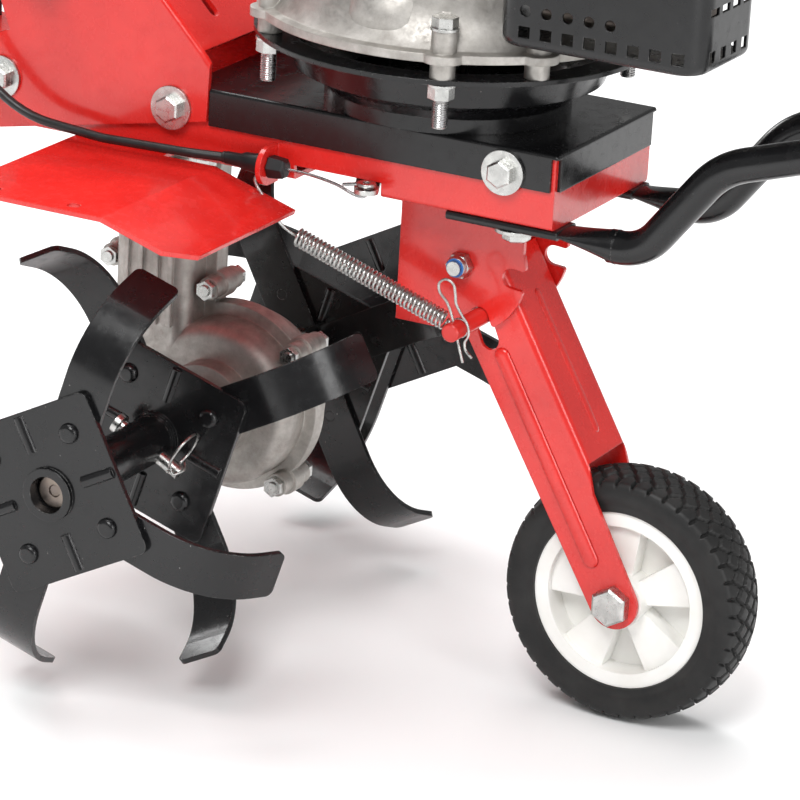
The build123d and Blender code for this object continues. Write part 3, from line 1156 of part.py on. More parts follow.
GRIP_LENGTH = 112.0
GRIP_DIR = (at(*GRIP_END) - at(*GRIP_BEND)).normalized()

with BuildPart() as handle_grips:
    for s in SIDES:
        end = at(s * GRIP_X, *GRIP_END[1:])
        with BuildSketch(facing(end - GRIP_DIR * GRIP_LENGTH, GRIP_DIR)):
            Circle(15.5)
            Circle(BAR_R, mode=Mode.SUBTRACT)
        extrude(amount=GRIP_LENGTH)
        rod(end - GRIP_DIR * GRIP_LENGTH, GRIP_DIR, 4, 19)
        rod(end - GRIP_DIR * (GRIP_LENGTH + 1), GRIP_DIR, GRIP_LENGTH + 1, BAR_R, Mode.SUBTRACT)
        rod(end, GRIP_DIR, 2.5, 15.5)
keep(handle_grips, "handle_grips")

# ---- hand controls ---------------------------------------------------------------------------------------------------------
RING_FROM_END = 127.0
LEVER_DROP = 20.0            # lever pivot below the bar's axis
RING_Y = GRIP_END[1] - RING_FROM_END * GRIP_DIR.Y
RING_Z = GRIP_END[2] - RING_FROM_END * GRIP_DIR.Z


def by_grip(along, below):
    """A side-plane point given along the grip from the bracket ring and below the bar's axis."""
    return (RING_Y + along * GRIP_DIR.Y + below * GRIP_DIR.Z, RING_Z + along * GRIP_DIR.Z - below * GRIP_DIR.Y)


LEVER_PIVOT = by_grip(0, LEVER_DROP)

with BuildPart() as clutch_lever:
    with BuildSketch(side(-GRIP_X - 5)):
        blade_line = [by_grip(-14, 16), by_grip(8, 19), by_grip(30, 38), by_grip(112, 50)]
        outline(sheet_points(blade_line, -8))
    extrude(amount=10)
    fillet(clutch_lever.edges().filter_by(Axis.X), 1.5)
    rod(at(-GRIP_X - 7, *LEVER_PIVOT), LEFTWARD, 14, 5.6)
    rod(at(-GRIP_X - 9, *LEVER_PIVOT), LEFTWARD, 20, 3.06, Mode.SUBTRACT)
keep(clutch_lever, "clutch_lever")

THROTTLE_X = GRIP_X - 24.0

with BuildPart() as throttle_lever:
    rod(at(THROTTLE_X, RING_Y, RING_Z), LEFTWARD, 7, 14)
    with BuildSketch(side(THROTTLE_X)):
        with Locations(Location((RING_Y, RING_Z + 24, 0), (0, 0, 90))):
            SlotOverall(52, 9)
    extrude(amount=4)
    rod(at(THROTTLE_X - 5, RING_Y, RING_Z), LEFTWARD, 30, 3.06, Mode.SUBTRACT)
keep(throttle_lever, "throttle_lever")

with BuildPart() as lever_brackets:
    for s in SIDES:
        ring_start = at(s * GRIP_X, RING_Y, RING_Z) - GRIP_DIR * 7
        rod(ring_start, GRIP_DIR, 14, 14)
    for ear_x in (-GRIP_X - 10.5, -GRIP_X + 7.5):
        with BuildSketch(side(ear_x)):
            outline([by_grip(-7, 0), by_grip(7, 0), by_grip(7, LEVER_DROP + 6), by_grip(-7, LEVER_DROP + 6)])
        extrude(amount=3)
    rod(at(-GRIP_X - 12, *LEVER_PIVOT), LEFTWARD, 24, 3)
    rod(at(THROTTLE_X - 1.5, RING_Y, RING_Z), LEFTWARD, 15, 3)
    for s in SIDES:
        ring_start = at(s * GRIP_X, RING_Y, RING_Z) - GRIP_DIR * 20
        rod(ring_start, GRIP_DIR, 40, BAR_R, Mode.SUBTRACT)
keep(lever_brackets, "lever_brackets")

# ---- drag stake behind the frame ---------------------------------------------------------------------------------------------
with BuildPart() as drag_stake:
    block(-8, 8, 380, 396, -280, 34)
    with BuildSketch(side(-10)):
        outline([(380 - 1, -281), (380 - 1, -250), (392, -281)])
    extrude(amount=20, mode=Mode.SUBTRACT)
    for i in range(5):
        rod(at(-10, 388, -80 - 32 * i), LEFTWARD, 20, 4.2, Mode.SUBTRACT)
keep(drag_stake, "drag_stake")

with BuildPart() as stake_clamp:
    rod(at(0, 396.5, -30), (0, 1, 0), 30, 4)
    rod(at(-26, 429, -30), LEFTWARD, 52, 4)
    rod(at(0, 420, -30), (0, 1, 0), 9, 6.5)
keep(stake_clamp, "stake_clamp")
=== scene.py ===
import json
import math

import bmesh
import bpy
from mathutils import Matrix, Vector


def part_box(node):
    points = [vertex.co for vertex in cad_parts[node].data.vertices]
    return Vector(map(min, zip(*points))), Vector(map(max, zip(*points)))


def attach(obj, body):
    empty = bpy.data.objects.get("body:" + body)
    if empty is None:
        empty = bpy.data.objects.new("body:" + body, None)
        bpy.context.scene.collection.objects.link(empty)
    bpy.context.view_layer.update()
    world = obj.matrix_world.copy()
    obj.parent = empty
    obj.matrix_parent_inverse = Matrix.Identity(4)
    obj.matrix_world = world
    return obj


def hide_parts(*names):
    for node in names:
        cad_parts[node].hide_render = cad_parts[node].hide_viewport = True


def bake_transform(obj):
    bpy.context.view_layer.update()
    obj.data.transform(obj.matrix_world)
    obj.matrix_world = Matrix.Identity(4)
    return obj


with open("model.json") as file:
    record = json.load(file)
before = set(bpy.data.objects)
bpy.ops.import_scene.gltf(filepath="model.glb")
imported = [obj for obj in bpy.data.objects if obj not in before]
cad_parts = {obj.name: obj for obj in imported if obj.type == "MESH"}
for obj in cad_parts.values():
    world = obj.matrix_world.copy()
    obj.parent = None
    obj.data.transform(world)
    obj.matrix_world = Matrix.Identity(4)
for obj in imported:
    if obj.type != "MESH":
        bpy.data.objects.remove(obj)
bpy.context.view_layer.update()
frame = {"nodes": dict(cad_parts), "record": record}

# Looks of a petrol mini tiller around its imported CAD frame. Metres in the row frame; outlines below are
# in millimetres from the datum, the front edge of the engine tray at its top face.
MM = 0.001
NODES = frame["nodes"]
TRAY_LOW, TRAY_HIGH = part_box("engine_tray")
DATUM = Vector((0, TRAY_LOW.y, TRAY_HIGH.z))
SIDES = (-1, 1)
X_AXIS = Vector((1, 0, 0))
Z_AXIS = Vector((0, 0, 1))


def at(x, y, z):
    """A point measured in millimetres from the datum."""
    return DATUM + Vector((x, y, z)) * MM


def middle(node):
    low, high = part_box(node)
    return (low + high) / 2


# ---- camera, light and floor ------------------------------------------------------------------
AZIMUTH = math.radians(-63.44)
ELEVATION = math.radians(19.21)
ROLL = math.radians(3.3)
CAMERA_PLACE = Vector((-2.0758, -1.2605, 0.9569))
LENS_MM = 202.5
SENSOR_MM = 36
WORLD_STRENGTH = 0.32
FLOOR_HALF = 8.0


def add_camera():
    back = Vector((math.sin(AZIMUTH) * math.cos(ELEVATION),
                   -math.cos(AZIMUTH) * math.cos(ELEVATION), math.sin(ELEVATION)))
    right = (-back).cross(Z_AXIS).normalized()
    up = back.cross(right)
    tilted_right = right * math.cos(ROLL) + up * math.sin(ROLL)
    tilted_up = up * math.cos(ROLL) - right * math.sin(ROLL)
    data = bpy.data.cameras.new("camera")
    data.lens = LENS_MM
    data.sensor_width = SENSOR_MM
    data.clip_start = 0.05
    data.clip_end = 50
    camera = bpy.data.objects.new("camera", data)
    camera.matrix_world = Matrix.Translation(CAMERA_PLACE) @ Matrix(
        (tilted_right, tilted_up, back)).transposed().to_4x4()
    bpy.context.scene.collection.objects.link(camera)
    bpy.context.scene.camera = camera


def add_light(name, place, aim, size, power):
    data = bpy.data.lights.new(name, "AREA")
    data.shape = "RECTANGLE"
    data.size = size[0]
    data.size_y = size[1]
    data.energy = power
    lamp = bpy.data.objects.new(name, data)
    lamp.location = place
    lamp.rotation_euler = (Vector(aim) - Vector(place)).to_track_quat("-Z", "Y").to_euler()
    bpy.context.scene.collection.objects.link(lamp)


def add_studio():
    aim = (0, -0.1, 0.3)
    add_light("key_light", (-2.2, -0.6, 2.6), aim, (1.3, 1.3), 72)
    add_light("top_light", (0.6, 0.4, 3.0), aim, (2.6, 2.6), 104)
    add_light("front_light", (-1.2, -2.8, 1.0), aim, (0.8, 1.6), 26)
    add_light("rear_light", (1.6, 2.6, 1.6), aim, (1.4, 1.4), 40)
    world = bpy.data.worlds.new("studio")
    world.use_nodes = True
    background = world.node_tree.nodes["Background"]
    background.inputs["Color"].default_value = (1, 1, 1, 1)
    background.inputs["Strength"].default_value = WORLD_STRENGTH
    bpy.context.scene.world = world
    bpy.context.scene.view_settings.view_transform = "Standard"
    mesh = bpy.data.meshes.new("floor")
    mesh.from_pydata([(-FLOOR_HALF, -FLOOR_HALF, 0), (FLOOR_HALF, -FLOOR_HALF, 0),
                      (FLOOR_HALF, FLOOR_HALF, 0), (-FLOOR_HALF, FLOOR_HALF, 0)], [], [(0, 1, 2, 3)])
    floor = bpy.data.objects.new("floor", mesh)
    bpy.context.scene.collection.objects.link(floor)
    paper = bpy.data.materials.new("floor_paper")
    paper.use_nodes = True
    shader = paper.node_tree.nodes["Principled BSDF"]
    shader.inputs["Base Color"].default_value = (0.93, 0.93, 0.93, 1)
    shader.inputs["Roughness"].default_value = 0.9
    mesh.materials.append(paper)


# ---- materials -----------------------------------------------------------------------------------
# How far a rounded edge turns from the flat face, as 1 less the cosine: no edge marks (worn paint, and on the
# black enamel partly a painted highlight) up to LOW, full at HIGH.
EDGE_LOW = 0.03
EDGE_HIGH = 0.22


class Shader:
    """A Principled material and short ways to add procedural detail to it."""

    def __init__(self, name, roughness=0.5, metallic=0.0, coat=0.0, coat_roughness=0.1, specular=0.5):
        self.material = bpy.data.materials.new(name)
        self.material.use_nodes = True
        self.tree = self.material.node_tree
        self.surface = self.tree.nodes["Principled BSDF"]
        self.surface.inputs["Roughness"].default_value = roughness
        self.surface.inputs["Metallic"].default_value = metallic
        self.surface.inputs["Coat Weight"].default_value = coat
        self.surface.inputs["Coat Roughness"].default_value = coat_roughness
        self.surface.inputs["Specular IOR Level"].default_value = specular
        self.place = self.node("ShaderNodeTexCoord").outputs["Object"]

    def node(self, kind):
        return self.tree.nodes.new(kind)

    def link(self, output, socket):
        self.tree.links.new(output, socket)

    def noise(self, size_mm, detail=3.0, roughness=0.55):
        texture = self.node("ShaderNodeTexNoise")
        texture.inputs["Scale"].default_value = 1 / (size_mm * MM)
        texture.inputs["Detail"].default_value = detail
        texture.inputs["Roughness"].default_value = roughness
        self.link(self.place, texture.inputs["Vector"])
        return texture.outputs["Fac"]

    def cells(self, size_mm):
        texture = self.node("ShaderNodeTexVoronoi")
        texture.inputs["Scale"].default_value = 1 / (size_mm * MM)
        self.link(self.place, texture.inputs["Vector"])
        return texture

    def span(self, value, low, high, to_low=0.0, to_high=1.0):
        """Value between low and high, clamped and carried to the new span."""
        ranged = self.node("ShaderNodeMapRange")
        spans = (("From Min", low), ("From Max", high), ("To Min", to_low), ("To Max", to_high))
        for label, number in spans:
            ranged.inputs[label].default_value = number
        self.link(value, ranged.inputs["Value"])
        return ranged.outputs["Result"]

    def math(self, operation, a, b):
        node = self.node("ShaderNodeMath")
        node.operation = operation
        node.use_clamp = True
        for socket, value in zip(node.inputs, (a, b)):
            if isinstance(value, (int, float)):
                socket.default_value = value
            else:
                self.link(value, socket)
        return node.outputs["Value"]

    def mix(self, share, first, second):
        """Colour first where share is 0 and second where it is 1."""
        node = self.node("ShaderNodeMix")
        node.data_type = "RGBA"
        self.link(share, node.inputs["Factor"])
        for socket, value in ((node.inputs[6], first), (node.inputs[7], second)):
            if isinstance(value, tuple):
                socket.default_value = (*value, 1)
            else:
                self.link(value, socket)
        return node.outputs[2]

    def edges(self, radius_mm):
        """1 along the solid's edges and 0 on its faces."""
        rounded = self.node("ShaderNodeBevel")
        rounded.samples = 4
        rounded.inputs["Radius"].default_value = radius_mm * MM
        flat = self.node("ShaderNodeNewGeometry")
        turn = self.node("ShaderNodeVectorMath")
        turn.operation = "DOT_PRODUCT"
        self.link(rounded.outputs["Normal"], turn.inputs[0])
        self.link(flat.outputs["Normal"], turn.inputs[1])
        return self.span(turn.outputs["Value"], 1 - EDGE_LOW, 1 - EDGE_HIGH)

    def colour(self, value):
        self.link(value, self.surface.inputs["Base Color"])

    def rough(self, value):
        self.link(value, self.surface.inputs["Roughness"])

    def bump(self, height, depth_mm, strength=1.0, round_mm=0.0):
        node = self.node("ShaderNodeBump")
        node.inputs["Strength"].default_value = strength
        node.inputs["Distance"].default_value = depth_mm * MM
        self.link(height, node.inputs["Height"])
        if round_mm:
            rounded = self.node("ShaderNodeBevel")
            rounded.samples = 4
            rounded.inputs["Radius"].default_value = round_mm * MM
            self.link(rounded.outputs["Normal"], node.inputs["Normal"])
        self.link(node.outputs["Normal"], self.surface.inputs["Normal"])


def paint(name, colour, dark, roughness, coat, wear_and_highlight_amount, wear_and_highlight_colour, edge_mm, specular=0.5):
    """Enamel over steel: soft mottling, orange peel, and worn spots along the edges, which on the black
    enamel are light grey and partly a painted highlight.
    """
    s = Shader(name, coat=coat, coat_roughness=0.08, specular=specular)
    mottled = s.mix(s.span(s.noise(45, 4), 0.35, 0.65), dark, colour)
    patches = s.span(s.noise(5.0, 5, 0.7), 0.52, 0.60)
    # Edge mask: worn paint, and where the edge colour is light (black enamel) also a painted highlight along
    # the edges.
    worn_and_highlit_edges = s.math("MULTIPLY", s.edges(edge_mm), patches)
    specks = s.span(s.noise(2.6, 2, 0.8), 0.765, 0.79)
    marks = s.math("MULTIPLY", s.math("ADD", worn_and_highlit_edges, specks), wear_and_highlight_amount)
    s.colour(s.mix(marks, mottled, wear_and_highlight_colour))
    s.rough(s.span(s.noise(7, 4, 0.6), 0.3, 0.7, roughness - 0.05, roughness + 0.09))
    s.bump(s.noise(1.6, 2), 0.02, 0.35, round_mm=0.9)
    return s.material


def metal(name, light, dark, roughness, spangle_mm=2.2):
    """Zinc or bare steel: crystal spangle with dull blotches and fine scratches."""
    s = Shader(name, metallic=1.0)
    grain = s.cells(spangle_mm).outputs["Color"]
    blotch = s.noise(6, 4)
    tone = s.math("ADD", s.span(grain, 0.0, 1.0, 0.0, 0.35), s.span(blotch, 0.3, 0.7, 0.0, 0.65))
    s.colour(s.mix(tone, dark, light))
    s.rough(s.span(s.noise(3, 3), 0.3, 0.7, roughness - 0.07, roughness + 0.12))
    s.bump(s.noise(0.5, 3), 0.01, 0.4, round_mm=0.5)
    return s.material


def cast(name):
    """Sand-cast aluminium: fine pitted skin with darker pits at random."""
    s = Shader(name, metallic=0.85)
    tone = s.span(s.noise(11, 5, 0.65), 0.3, 0.72)
    base = s.mix(tone, (0.34, 0.32, 0.295), (0.55, 0.53, 0.50))
    pits = s.span(s.noise(0.9, 4, 0.75), 0.60, 0.72)
    s.colour(s.mix(s.math("MULTIPLY", pits, 0.5), base, (0.20, 0.185, 0.17)))
    s.rough(s.span(s.noise(2.2, 3), 0.3, 0.7, 0.42, 0.62))
    s.bump(s.noise(1.1, 5, 0.7), 0.10, 0.6, round_mm=1.2)
    return s.material


def moulded(name, colour, dark, roughness, grain_mm=0.7, depth_mm=0.04, specular=0.45):
    """Moulded plastic or rubber with a leathery grain."""
    s = Shader(name, specular=specular)
    s.colour(s.mix(s.span(s.noise(14, 4), 0.35, 0.65), dark, colour))
    s.rough(s.span(s.noise(4, 3), 0.3, 0.7, roughness - 0.06, roughness + 0.08))
    s.bump(s.cells(grain_mm).outputs["Distance"], depth_mm, 0.35, round_mm=0.8)
    return s.material


def nylon(name):
    s = Shader(name, roughness=0.42)
    s.surface.inputs["Subsurface Weight"].default_value = 0.12
    s.surface.inputs["Subsurface Radius"].default_value = (0.004, 0.004, 0.0035)
    dirt = s.span(s.noise(2.0, 4, 0.8), 0.72, 0.80)
    clean = s.mix(s.span(s.noise(25, 3), 0.3, 0.7), (0.80, 0.79, 0.75), (0.88, 0.875, 0.85))
    s.colour(s.mix(s.math("MULTIPLY", dirt, 0.5), clean, (0.42, 0.38, 0.33)))
    s.rough(s.span(s.noise(5, 3), 0.3, 0.7, 0.34, 0.5))
    s.bump(s.noise(1.5, 3), 0.03, 0.4, round_mm=1.0)
    return s.material


def rubber(name, light, dark):
    """Tyre rubber with grey dust and short moulding scuffs."""
    s = Shader(name, specular=0.35)
    dust = s.span(s.noise(22, 5, 0.6), 0.40, 0.85)
    base = s.mix(dust, dark, light)
    flecks = s.span(s.noise(1.3, 3, 0.8), 0.74, 0.80)
    s.colour(s.mix(s.math("MULTIPLY", flecks, 0.35), base, (0.22, 0.21, 0.20)))
    s.rough(s.span(s.noise(6, 4), 0.3, 0.7, 0.42, 0.60))
    s.bump(s.noise(0.8, 4, 0.7), 0.04, 0.4)
    return s.material


RED = paint("red_enamel", (0.68, 0.020, 0.015), (0.58, 0.014, 0.011), 0.24, 0.45, 0.30,
            (0.30, 0.05, 0.04), 0.7)
# Light grey edge colour of the black enamel: partly worn paint, partly a painted highlight along the edges.
BLACK = paint("black_enamel", (0.0075, 0.0075, 0.0082), (0.0045, 0.0045, 0.005), 0.22, 0.10, 0.6,
              (0.42, 0.41, 0.39), 0.5, specular=0.4)
PIN_RED = paint("pin_red", (0.60, 0.022, 0.016), (0.50, 0.014, 0.012), 0.33, 0.2, 0.35,
                (0.25, 0.16, 0.14), 0.5)
ZINC = metal("zinc_plate", (0.66, 0.66, 0.64), (0.36, 0.36, 0.35), 0.27)
STEEL = metal("bare_steel", (0.54, 0.54, 0.55), (0.34, 0.33, 0.32), 0.24, 1.2)
HOT = metal("heated_steel", (0.36, 0.30, 0.25), (0.20, 0.17, 0.16), 0.42, 5.0)
BRONZE = metal("bronze", (0.72, 0.50, 0.24), (0.52, 0.34, 0.15), 0.30, 1.0)
CAST = cast("cast_alloy")
PLASTIC = moulded("black_plastic", (0.012, 0.012, 0.013), (0.007, 0.007, 0.008), 0.38, specular=0.35)
GRIP = moulded("grip_rubber", (0.020, 0.020, 0.020), (0.012, 0.012, 0.012), 0.62, 1.1, 0.08, 0.35)
SHEATH = moulded("cable_sheath", (0.016, 0.016, 0.017), (0.010, 0.010, 0.010), 0.36, 0.5, 0.01)
BELT = moulded("belt_rubber", (0.030, 0.030, 0.030), (0.016, 0.016, 0.016), 0.75, 0.6, 0.06, 0.3)
BLUE = moulded("blue_nylon", (0.03, 0.14, 0.42), (0.02, 0.10, 0.34), 0.4, 0.8, 0.02)
NYLON = nylon("white_nylon")
TYRE = rubber("tyre_rubber", (0.026, 0.025, 0.024), (0.010, 0.010, 0.010))

SLOT_MATERIAL = {
    "frame_paint": RED, "black_paint": BLACK, "pin_paint": PIN_RED, "zinc_steel": ZINC, "bare_steel": STEEL,
    "cast_alloy": CAST, "black_plastic": PLASTIC, "white_nylon": NYLON, "tyre_rubber": TYRE,
    "belt_rubber": BELT, "grip_rubber": GRIP, "bronze": BRONZE, "hot_steel": HOT,
}


def dress_cad_nodes():
    """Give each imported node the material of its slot."""
    for row in frame["record"]["subparts"]:
        mesh = NODES[row["node"]].data
        mesh.materials.clear()
        mesh.materials.append(SLOT_MATERIAL[row["material_slot"]])


# ---- mesh helpers --------------------------------------------------------------------------------
def smooth_by_angle(mesh, degrees):
    """Shade smooth, with sharp edges where two faces meet at more than this angle."""
    bm = bmesh.new()
    bm.from_mesh(mesh)
    limit = math.radians(degrees)
    for face in bm.faces:
        face.smooth = True
    for edge in bm.edges:
        if len(edge.link_faces) == 2:
            edge.smooth = edge.calc_face_angle(0) < limit
    bm.to_mesh(mesh)
    bm.free()


def finish_piece(name, bm, look, body, smooth):
    mesh = bpy.data.meshes.new(name)
    bmesh.ops.remove_doubles(bm, verts=bm.verts, dist=1e-6)
    bmesh.ops.recalc_face_normals(bm, faces=bm.faces)
    bm.to_mesh(mesh)
    bm.free()
    smooth_by_angle(mesh, smooth)
    mesh.materials.append(look)
    piece = bpy.data.objects.new(name, mesh)
    bpy.context.scene.collection.objects.link(piece)
    if body:
        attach(piece, body)
    return piece


def frame_of(axis):
    """Two unit vectors square to an axis and to each other."""
    axis = Vector(axis).normalized()
    first = axis.cross(Z_AXIS if abs(axis.z) < 0.9 else X_AXIS).normalized()
    return first, axis.cross(first)


def join_rings(bm, rings):
    """Faces between each ring of vertices and the next."""
    for here, there in zip(rings, rings[1:]):
        for k in range(len(here)):
            n = (k + 1) % len(here)
            bm.faces.new((here[k], here[n], there[n], there[k]))


def join_outlines(bm, outlines, pairs):
    """Faces between neighbouring outlines, all the way round an axis."""
    for i, here in enumerate(outlines):
        there = outlines[(i + 1) % len(outlines)]
        for j in range(pairs):
            k = (j + 1) % len(here)
            bm.faces.new((here[j], there[j], there[k], here[k]))


def lathe(bm, profile, origin, axis, steps, closed=True):
    """Turn (radius_mm, along_mm) points about an axis through origin."""
    axis = Vector(axis).normalized()
    u, v = frame_of(axis)
    outlines = []
    for i in range(steps):
        turn = 2 * math.pi * i / steps
        out = u * math.cos(turn) + v * math.sin(turn)
        outlines.append([bm.verts.new(origin + out * (r * MM) + axis * (a * MM)) for r, a in profile])
    join_outlines(bm, outlines, len(profile) if closed else len(profile) - 1)


def curve_through(points, steps):
    """Catmull-Rom points through the given ones."""
    ends = [points[0] * 2 - points[1]] + list(points) + [points[-1] * 2 - points[-2]]
    out = []
    for p0, p1, p2, p3 in zip(ends, ends[1:], ends[2:], ends[3:]):
        for i in range(steps):
            t = i / steps
            out.append(0.5 * ((2 * p1) + (p2 - p0) * t + (2 * p0 - 5 * p1 + 4 * p2 - p3) * t * t
                              + (3 * p1 - p0 - 3 * p2 + p3) * t ** 3))
    out.append(points[-1])
    return out


def wire(bm, points, radius_mm, sides):
    """A round wire along points, with closed ends."""
    tangents = []
    for i, p in enumerate(points):
        before, after = points[max(i - 1, 0)], points[min(i + 1, len(points) - 1)]
        tangents.append((after - before).normalized())
    u = frame_of(tangents[0])[0]
    rings = []
    for p, t in zip(points, tangents):
        u = (u - t * u.dot(t)).normalized()
        v = t.cross(u)
        rings.append([bm.verts.new(p + (u * math.cos(a) + v * math.sin(a)) * (radius_mm * MM))
                      for a in (2 * math.pi * k / sides for k in range(sides))])
    join_rings(bm, rings)
    bm.faces.new(rings[0][::-1])
    bm.faces.new(rings[-1])


def hexagon(bm, origin, axis, flats_mm, profile):
    """Six-sided nut or head: profile is (share of radius, along_mm) rings, closed at both ends."""
    axis = Vector(axis).normalized()
    u, v = frame_of(axis)
    corner = flats_mm / 2 / math.cos(math.pi / 6)
    rings = []
    for share, along in profile:
        ring = []
        for i in range(6):
            turn = math.pi / 3 * i
            out = u * math.cos(turn) + v * math.sin(turn)
            ring.append(bm.verts.new(origin + out * (corner * share * MM) + axis * (along * MM)))
        rings.append(ring)
    join_rings(bm, rings)
    bm.faces.new(rings[0][::-1])
    bm.faces.new(rings[-1])


# ---- tyre with its moulded tread -----------------------------------------------------------------
TYRE_STEPS = 880
RIM_RADIUS = 46.6
TREAD_WAVES = 44
TREAD_HALF = 17.0
TREAD_ROWS = 46
CROWN_DROP = 3.4
CROWN_POWER = 2.2
GROOVE_DEPTH = 2.1
GROOVE_HALF = 0.95
GROOVE_FADE = 0.7
GROOVE_LINES = ((-10.5, 1), (-3.5, -1), (3.5, 1), (10.5, -1))
ZIGZAG_REACH = 2.3
BLOCK_LENGTH = 10
SHOULDER_FROM = 11
CENTRE_HALF = 3.0


def cut_share(away, half, full=1):
    """Full within half of a cut's middle line, fading out beyond it."""
    return full - max(0.0, away - half) / GROOVE_FADE


def tread_depth(turn, x):
    """How deep the tread is cut at a place: zig-zag grooves, shoulder cuts and centre cuts."""
    phase = turn * TREAD_WAVES / (2 * math.pi)
    zigzag = abs((phase % 1.0) * 2 - 1) * 2 - 1
    deepest = 0.0
    for line, flip in GROOVE_LINES:
        away = abs(x - line - flip * ZIGZAG_REACH * zigzag)
        deepest = max(deepest, cut_share(away, GROOVE_HALF))
    if abs(x) > SHOULDER_FROM:
        side_phase = (phase + (0.25 if x > 0 else 0.0) + 0.02 * (abs(x) - SHOULDER_FROM)) % 1.0
        deepest = max(deepest, cut_share(abs(side_phase - 0.5) * BLOCK_LENGTH, 0.55))
    if abs(x) < CENTRE_HALF:
        centre_phase = (phase + 0.04 * x) % 1.0
        deepest = max(deepest, cut_share(abs(centre_phase - 0.5) * BLOCK_LENGTH, 0.45, 0.7))
    return max(0.0, min(1.0, deepest)) * GROOVE_DEPTH


def make_tyre():
    low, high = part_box("tyre")
    centre = (low + high) / 2
    crown = (high.z - low.z) / 2 / MM
    rim = RIM_RADIUS
    side_wall = [(-14.5, rim), (-14.6, rim + 2.6), (-15.6, rim + 3.3), (-17.0, rim + 2.9), (-18.4, rim + 3.4),
                 (-18.9, rim + 5.0), (-18.6, rim + 6.6), (-19.2, rim + 8.4), (-19.85, rim + 11.0),
                 (-19.9, rim + 13.5), (-19.4, rim + 16.0), (-18.6, rim + 18.0), (-18.0, crown - 4.2)]
    tread = []
    for i in range(TREAD_ROWS + 1):
        x = -TREAD_HALF + 2 * TREAD_HALF * i / TREAD_ROWS
        tread.append((x, crown - CROWN_DROP * (abs(x) / TREAD_HALF) ** CROWN_POWER))
    outline = side_wall + tread + [(-x, r) for x, r in reversed(side_wall)]
    first = len(side_wall)
    last = first + TREAD_ROWS
    bm = bmesh.new()
    outlines = []
    for i in range(TYRE_STEPS):
        turn = 2 * math.pi * i / TYRE_STEPS
        out = Vector((0, math.cos(turn), math.sin(turn)))
        turned = []
        for j, (x, r) in enumerate(outline):
            depth = tread_depth(turn, x) if first <= j <= last else 0.0
            if j in (first - 1, last + 1):
                depth = 0.6 * tread_depth(turn, math.copysign(TREAD_HALF, x))
            turned.append(bm.verts.new(centre + out * ((r - depth) * MM) + X_AXIS * (x * MM)))
        outlines.append(turned)
    join_outlines(bm, outlines, len(outline))
    tyre = finish_piece("moulded_tyre", bm, TYRE, "front_wheel", 50)
    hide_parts("tyre")


# ---- spring, clips and cable ---------------------------------------------------------------------
SPRING_LOW = at(-50.0, 64.0, -104.0)
SPRING_HIGH = at(-55.0, 152.0, -73.0)
SPRING_R = 4.55
SPRING_WIRE = 0.80
SPRING_TURNS = 38
COIL_STEPS = 20
PIN_GROOVE_X = -50


def coil_points():
    axis = SPRING_HIGH - SPRING_LOW
    u, v = frame_of(axis)
    steps = SPRING_TURNS * COIL_STEPS
    points = []
    for i in range(steps + 1):
        turn = 2 * math.pi * i / COIL_STEPS
        out = u * math.cos(turn) + v * math.sin(turn)
        points.append(SPRING_LOW + axis * (i / steps) + out * SPRING_R * MM)
    return points


def make_spring():
    """The coil with its tail to the frame's tab, and the hook that holds the lock pin's groove."""
    coil = coil_points()
    past_coil = SPRING_HIGH + (SPRING_HIGH - SPRING_LOW).normalized() * 0.002
    tip = at(-66, 172, -39.9)
    tail = curve_through([coil[-1], past_coil, at(-59, 161, -66), at(-64.5, 168.5, -52),
                          at(-66.5, 173.2, -43.5), tip, tip + Vector((0.0, -0.005, 0.0002)),
                          tip + Vector((0.002, -0.012, 0.0002))], 6)
    bm = bmesh.new()
    wire(bm, coil + tail[1:], SPRING_WIRE, 8)
    spring = finish_piece("coil_spring", bm, ZINC, None, 60)
    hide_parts("tension_spring")
    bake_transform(spring)
    groove = middle("lock_pin")
    groove.x = at(PIN_GROOVE_X, 0, 0).x
    ring = [groove + Vector((0, math.cos(a), math.sin(a))) * 4.75 * MM
            for a in (math.radians(20 + 27 * k) for k in range(12))]
    loop = curve_through([coil[0], SPRING_LOW + Vector((0, -0.0015, 0.0005))] + ring, 5)
    bm = bmesh.new()
    wire(bm, loop, SPRING_WIRE, 8)
    hook = finish_piece("spring_hook", bm, ZINC, None, 60)
    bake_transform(hook)


HAIRPIN_X = -55
HAIRPIN_OUTLINE = (
    (50.2, -123.0), (52.5, -116.0), (55.6, -106.1), (58.2, -98.0), (61.2, -91.5), (65.6, -86.6),
    (65.9, -81.6), (62.0, -78.8), (57.6, -80.6), (56.2, -85.4), (55.4, -91.0), (52.0, -96.6),
    (48.6, -101.4), (47.6, -107.0), (49.6, -112.0), (48.8, -116.0), (45.0, -119.5),
)
HAIRPIN_BOW = -1.6


def make_hairpin():
    """R-shaped clip through the lock pin: a straight leg, a round bow and a waved outer leg."""
    points = curve_through([at(HAIRPIN_X, y, z) for y, z in HAIRPIN_OUTLINE], 8)
    bow = [q + X_AXIS * (HAIRPIN_BOW * MM * math.sin(math.pi * i / len(points)) ** 3)
           for i, q in enumerate(points)]
    bm = bmesh.new()
    wire(bm, bow, 0.75, 10)
    clip = finish_piece("hairpin_wire", bm, ZINC, "lock_pin", 60)
    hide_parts("hairpin_clip")


PIN_ANGLE = math.radians(207.7)
PIN_X = 100
CLIP_RADIUS = 11.5


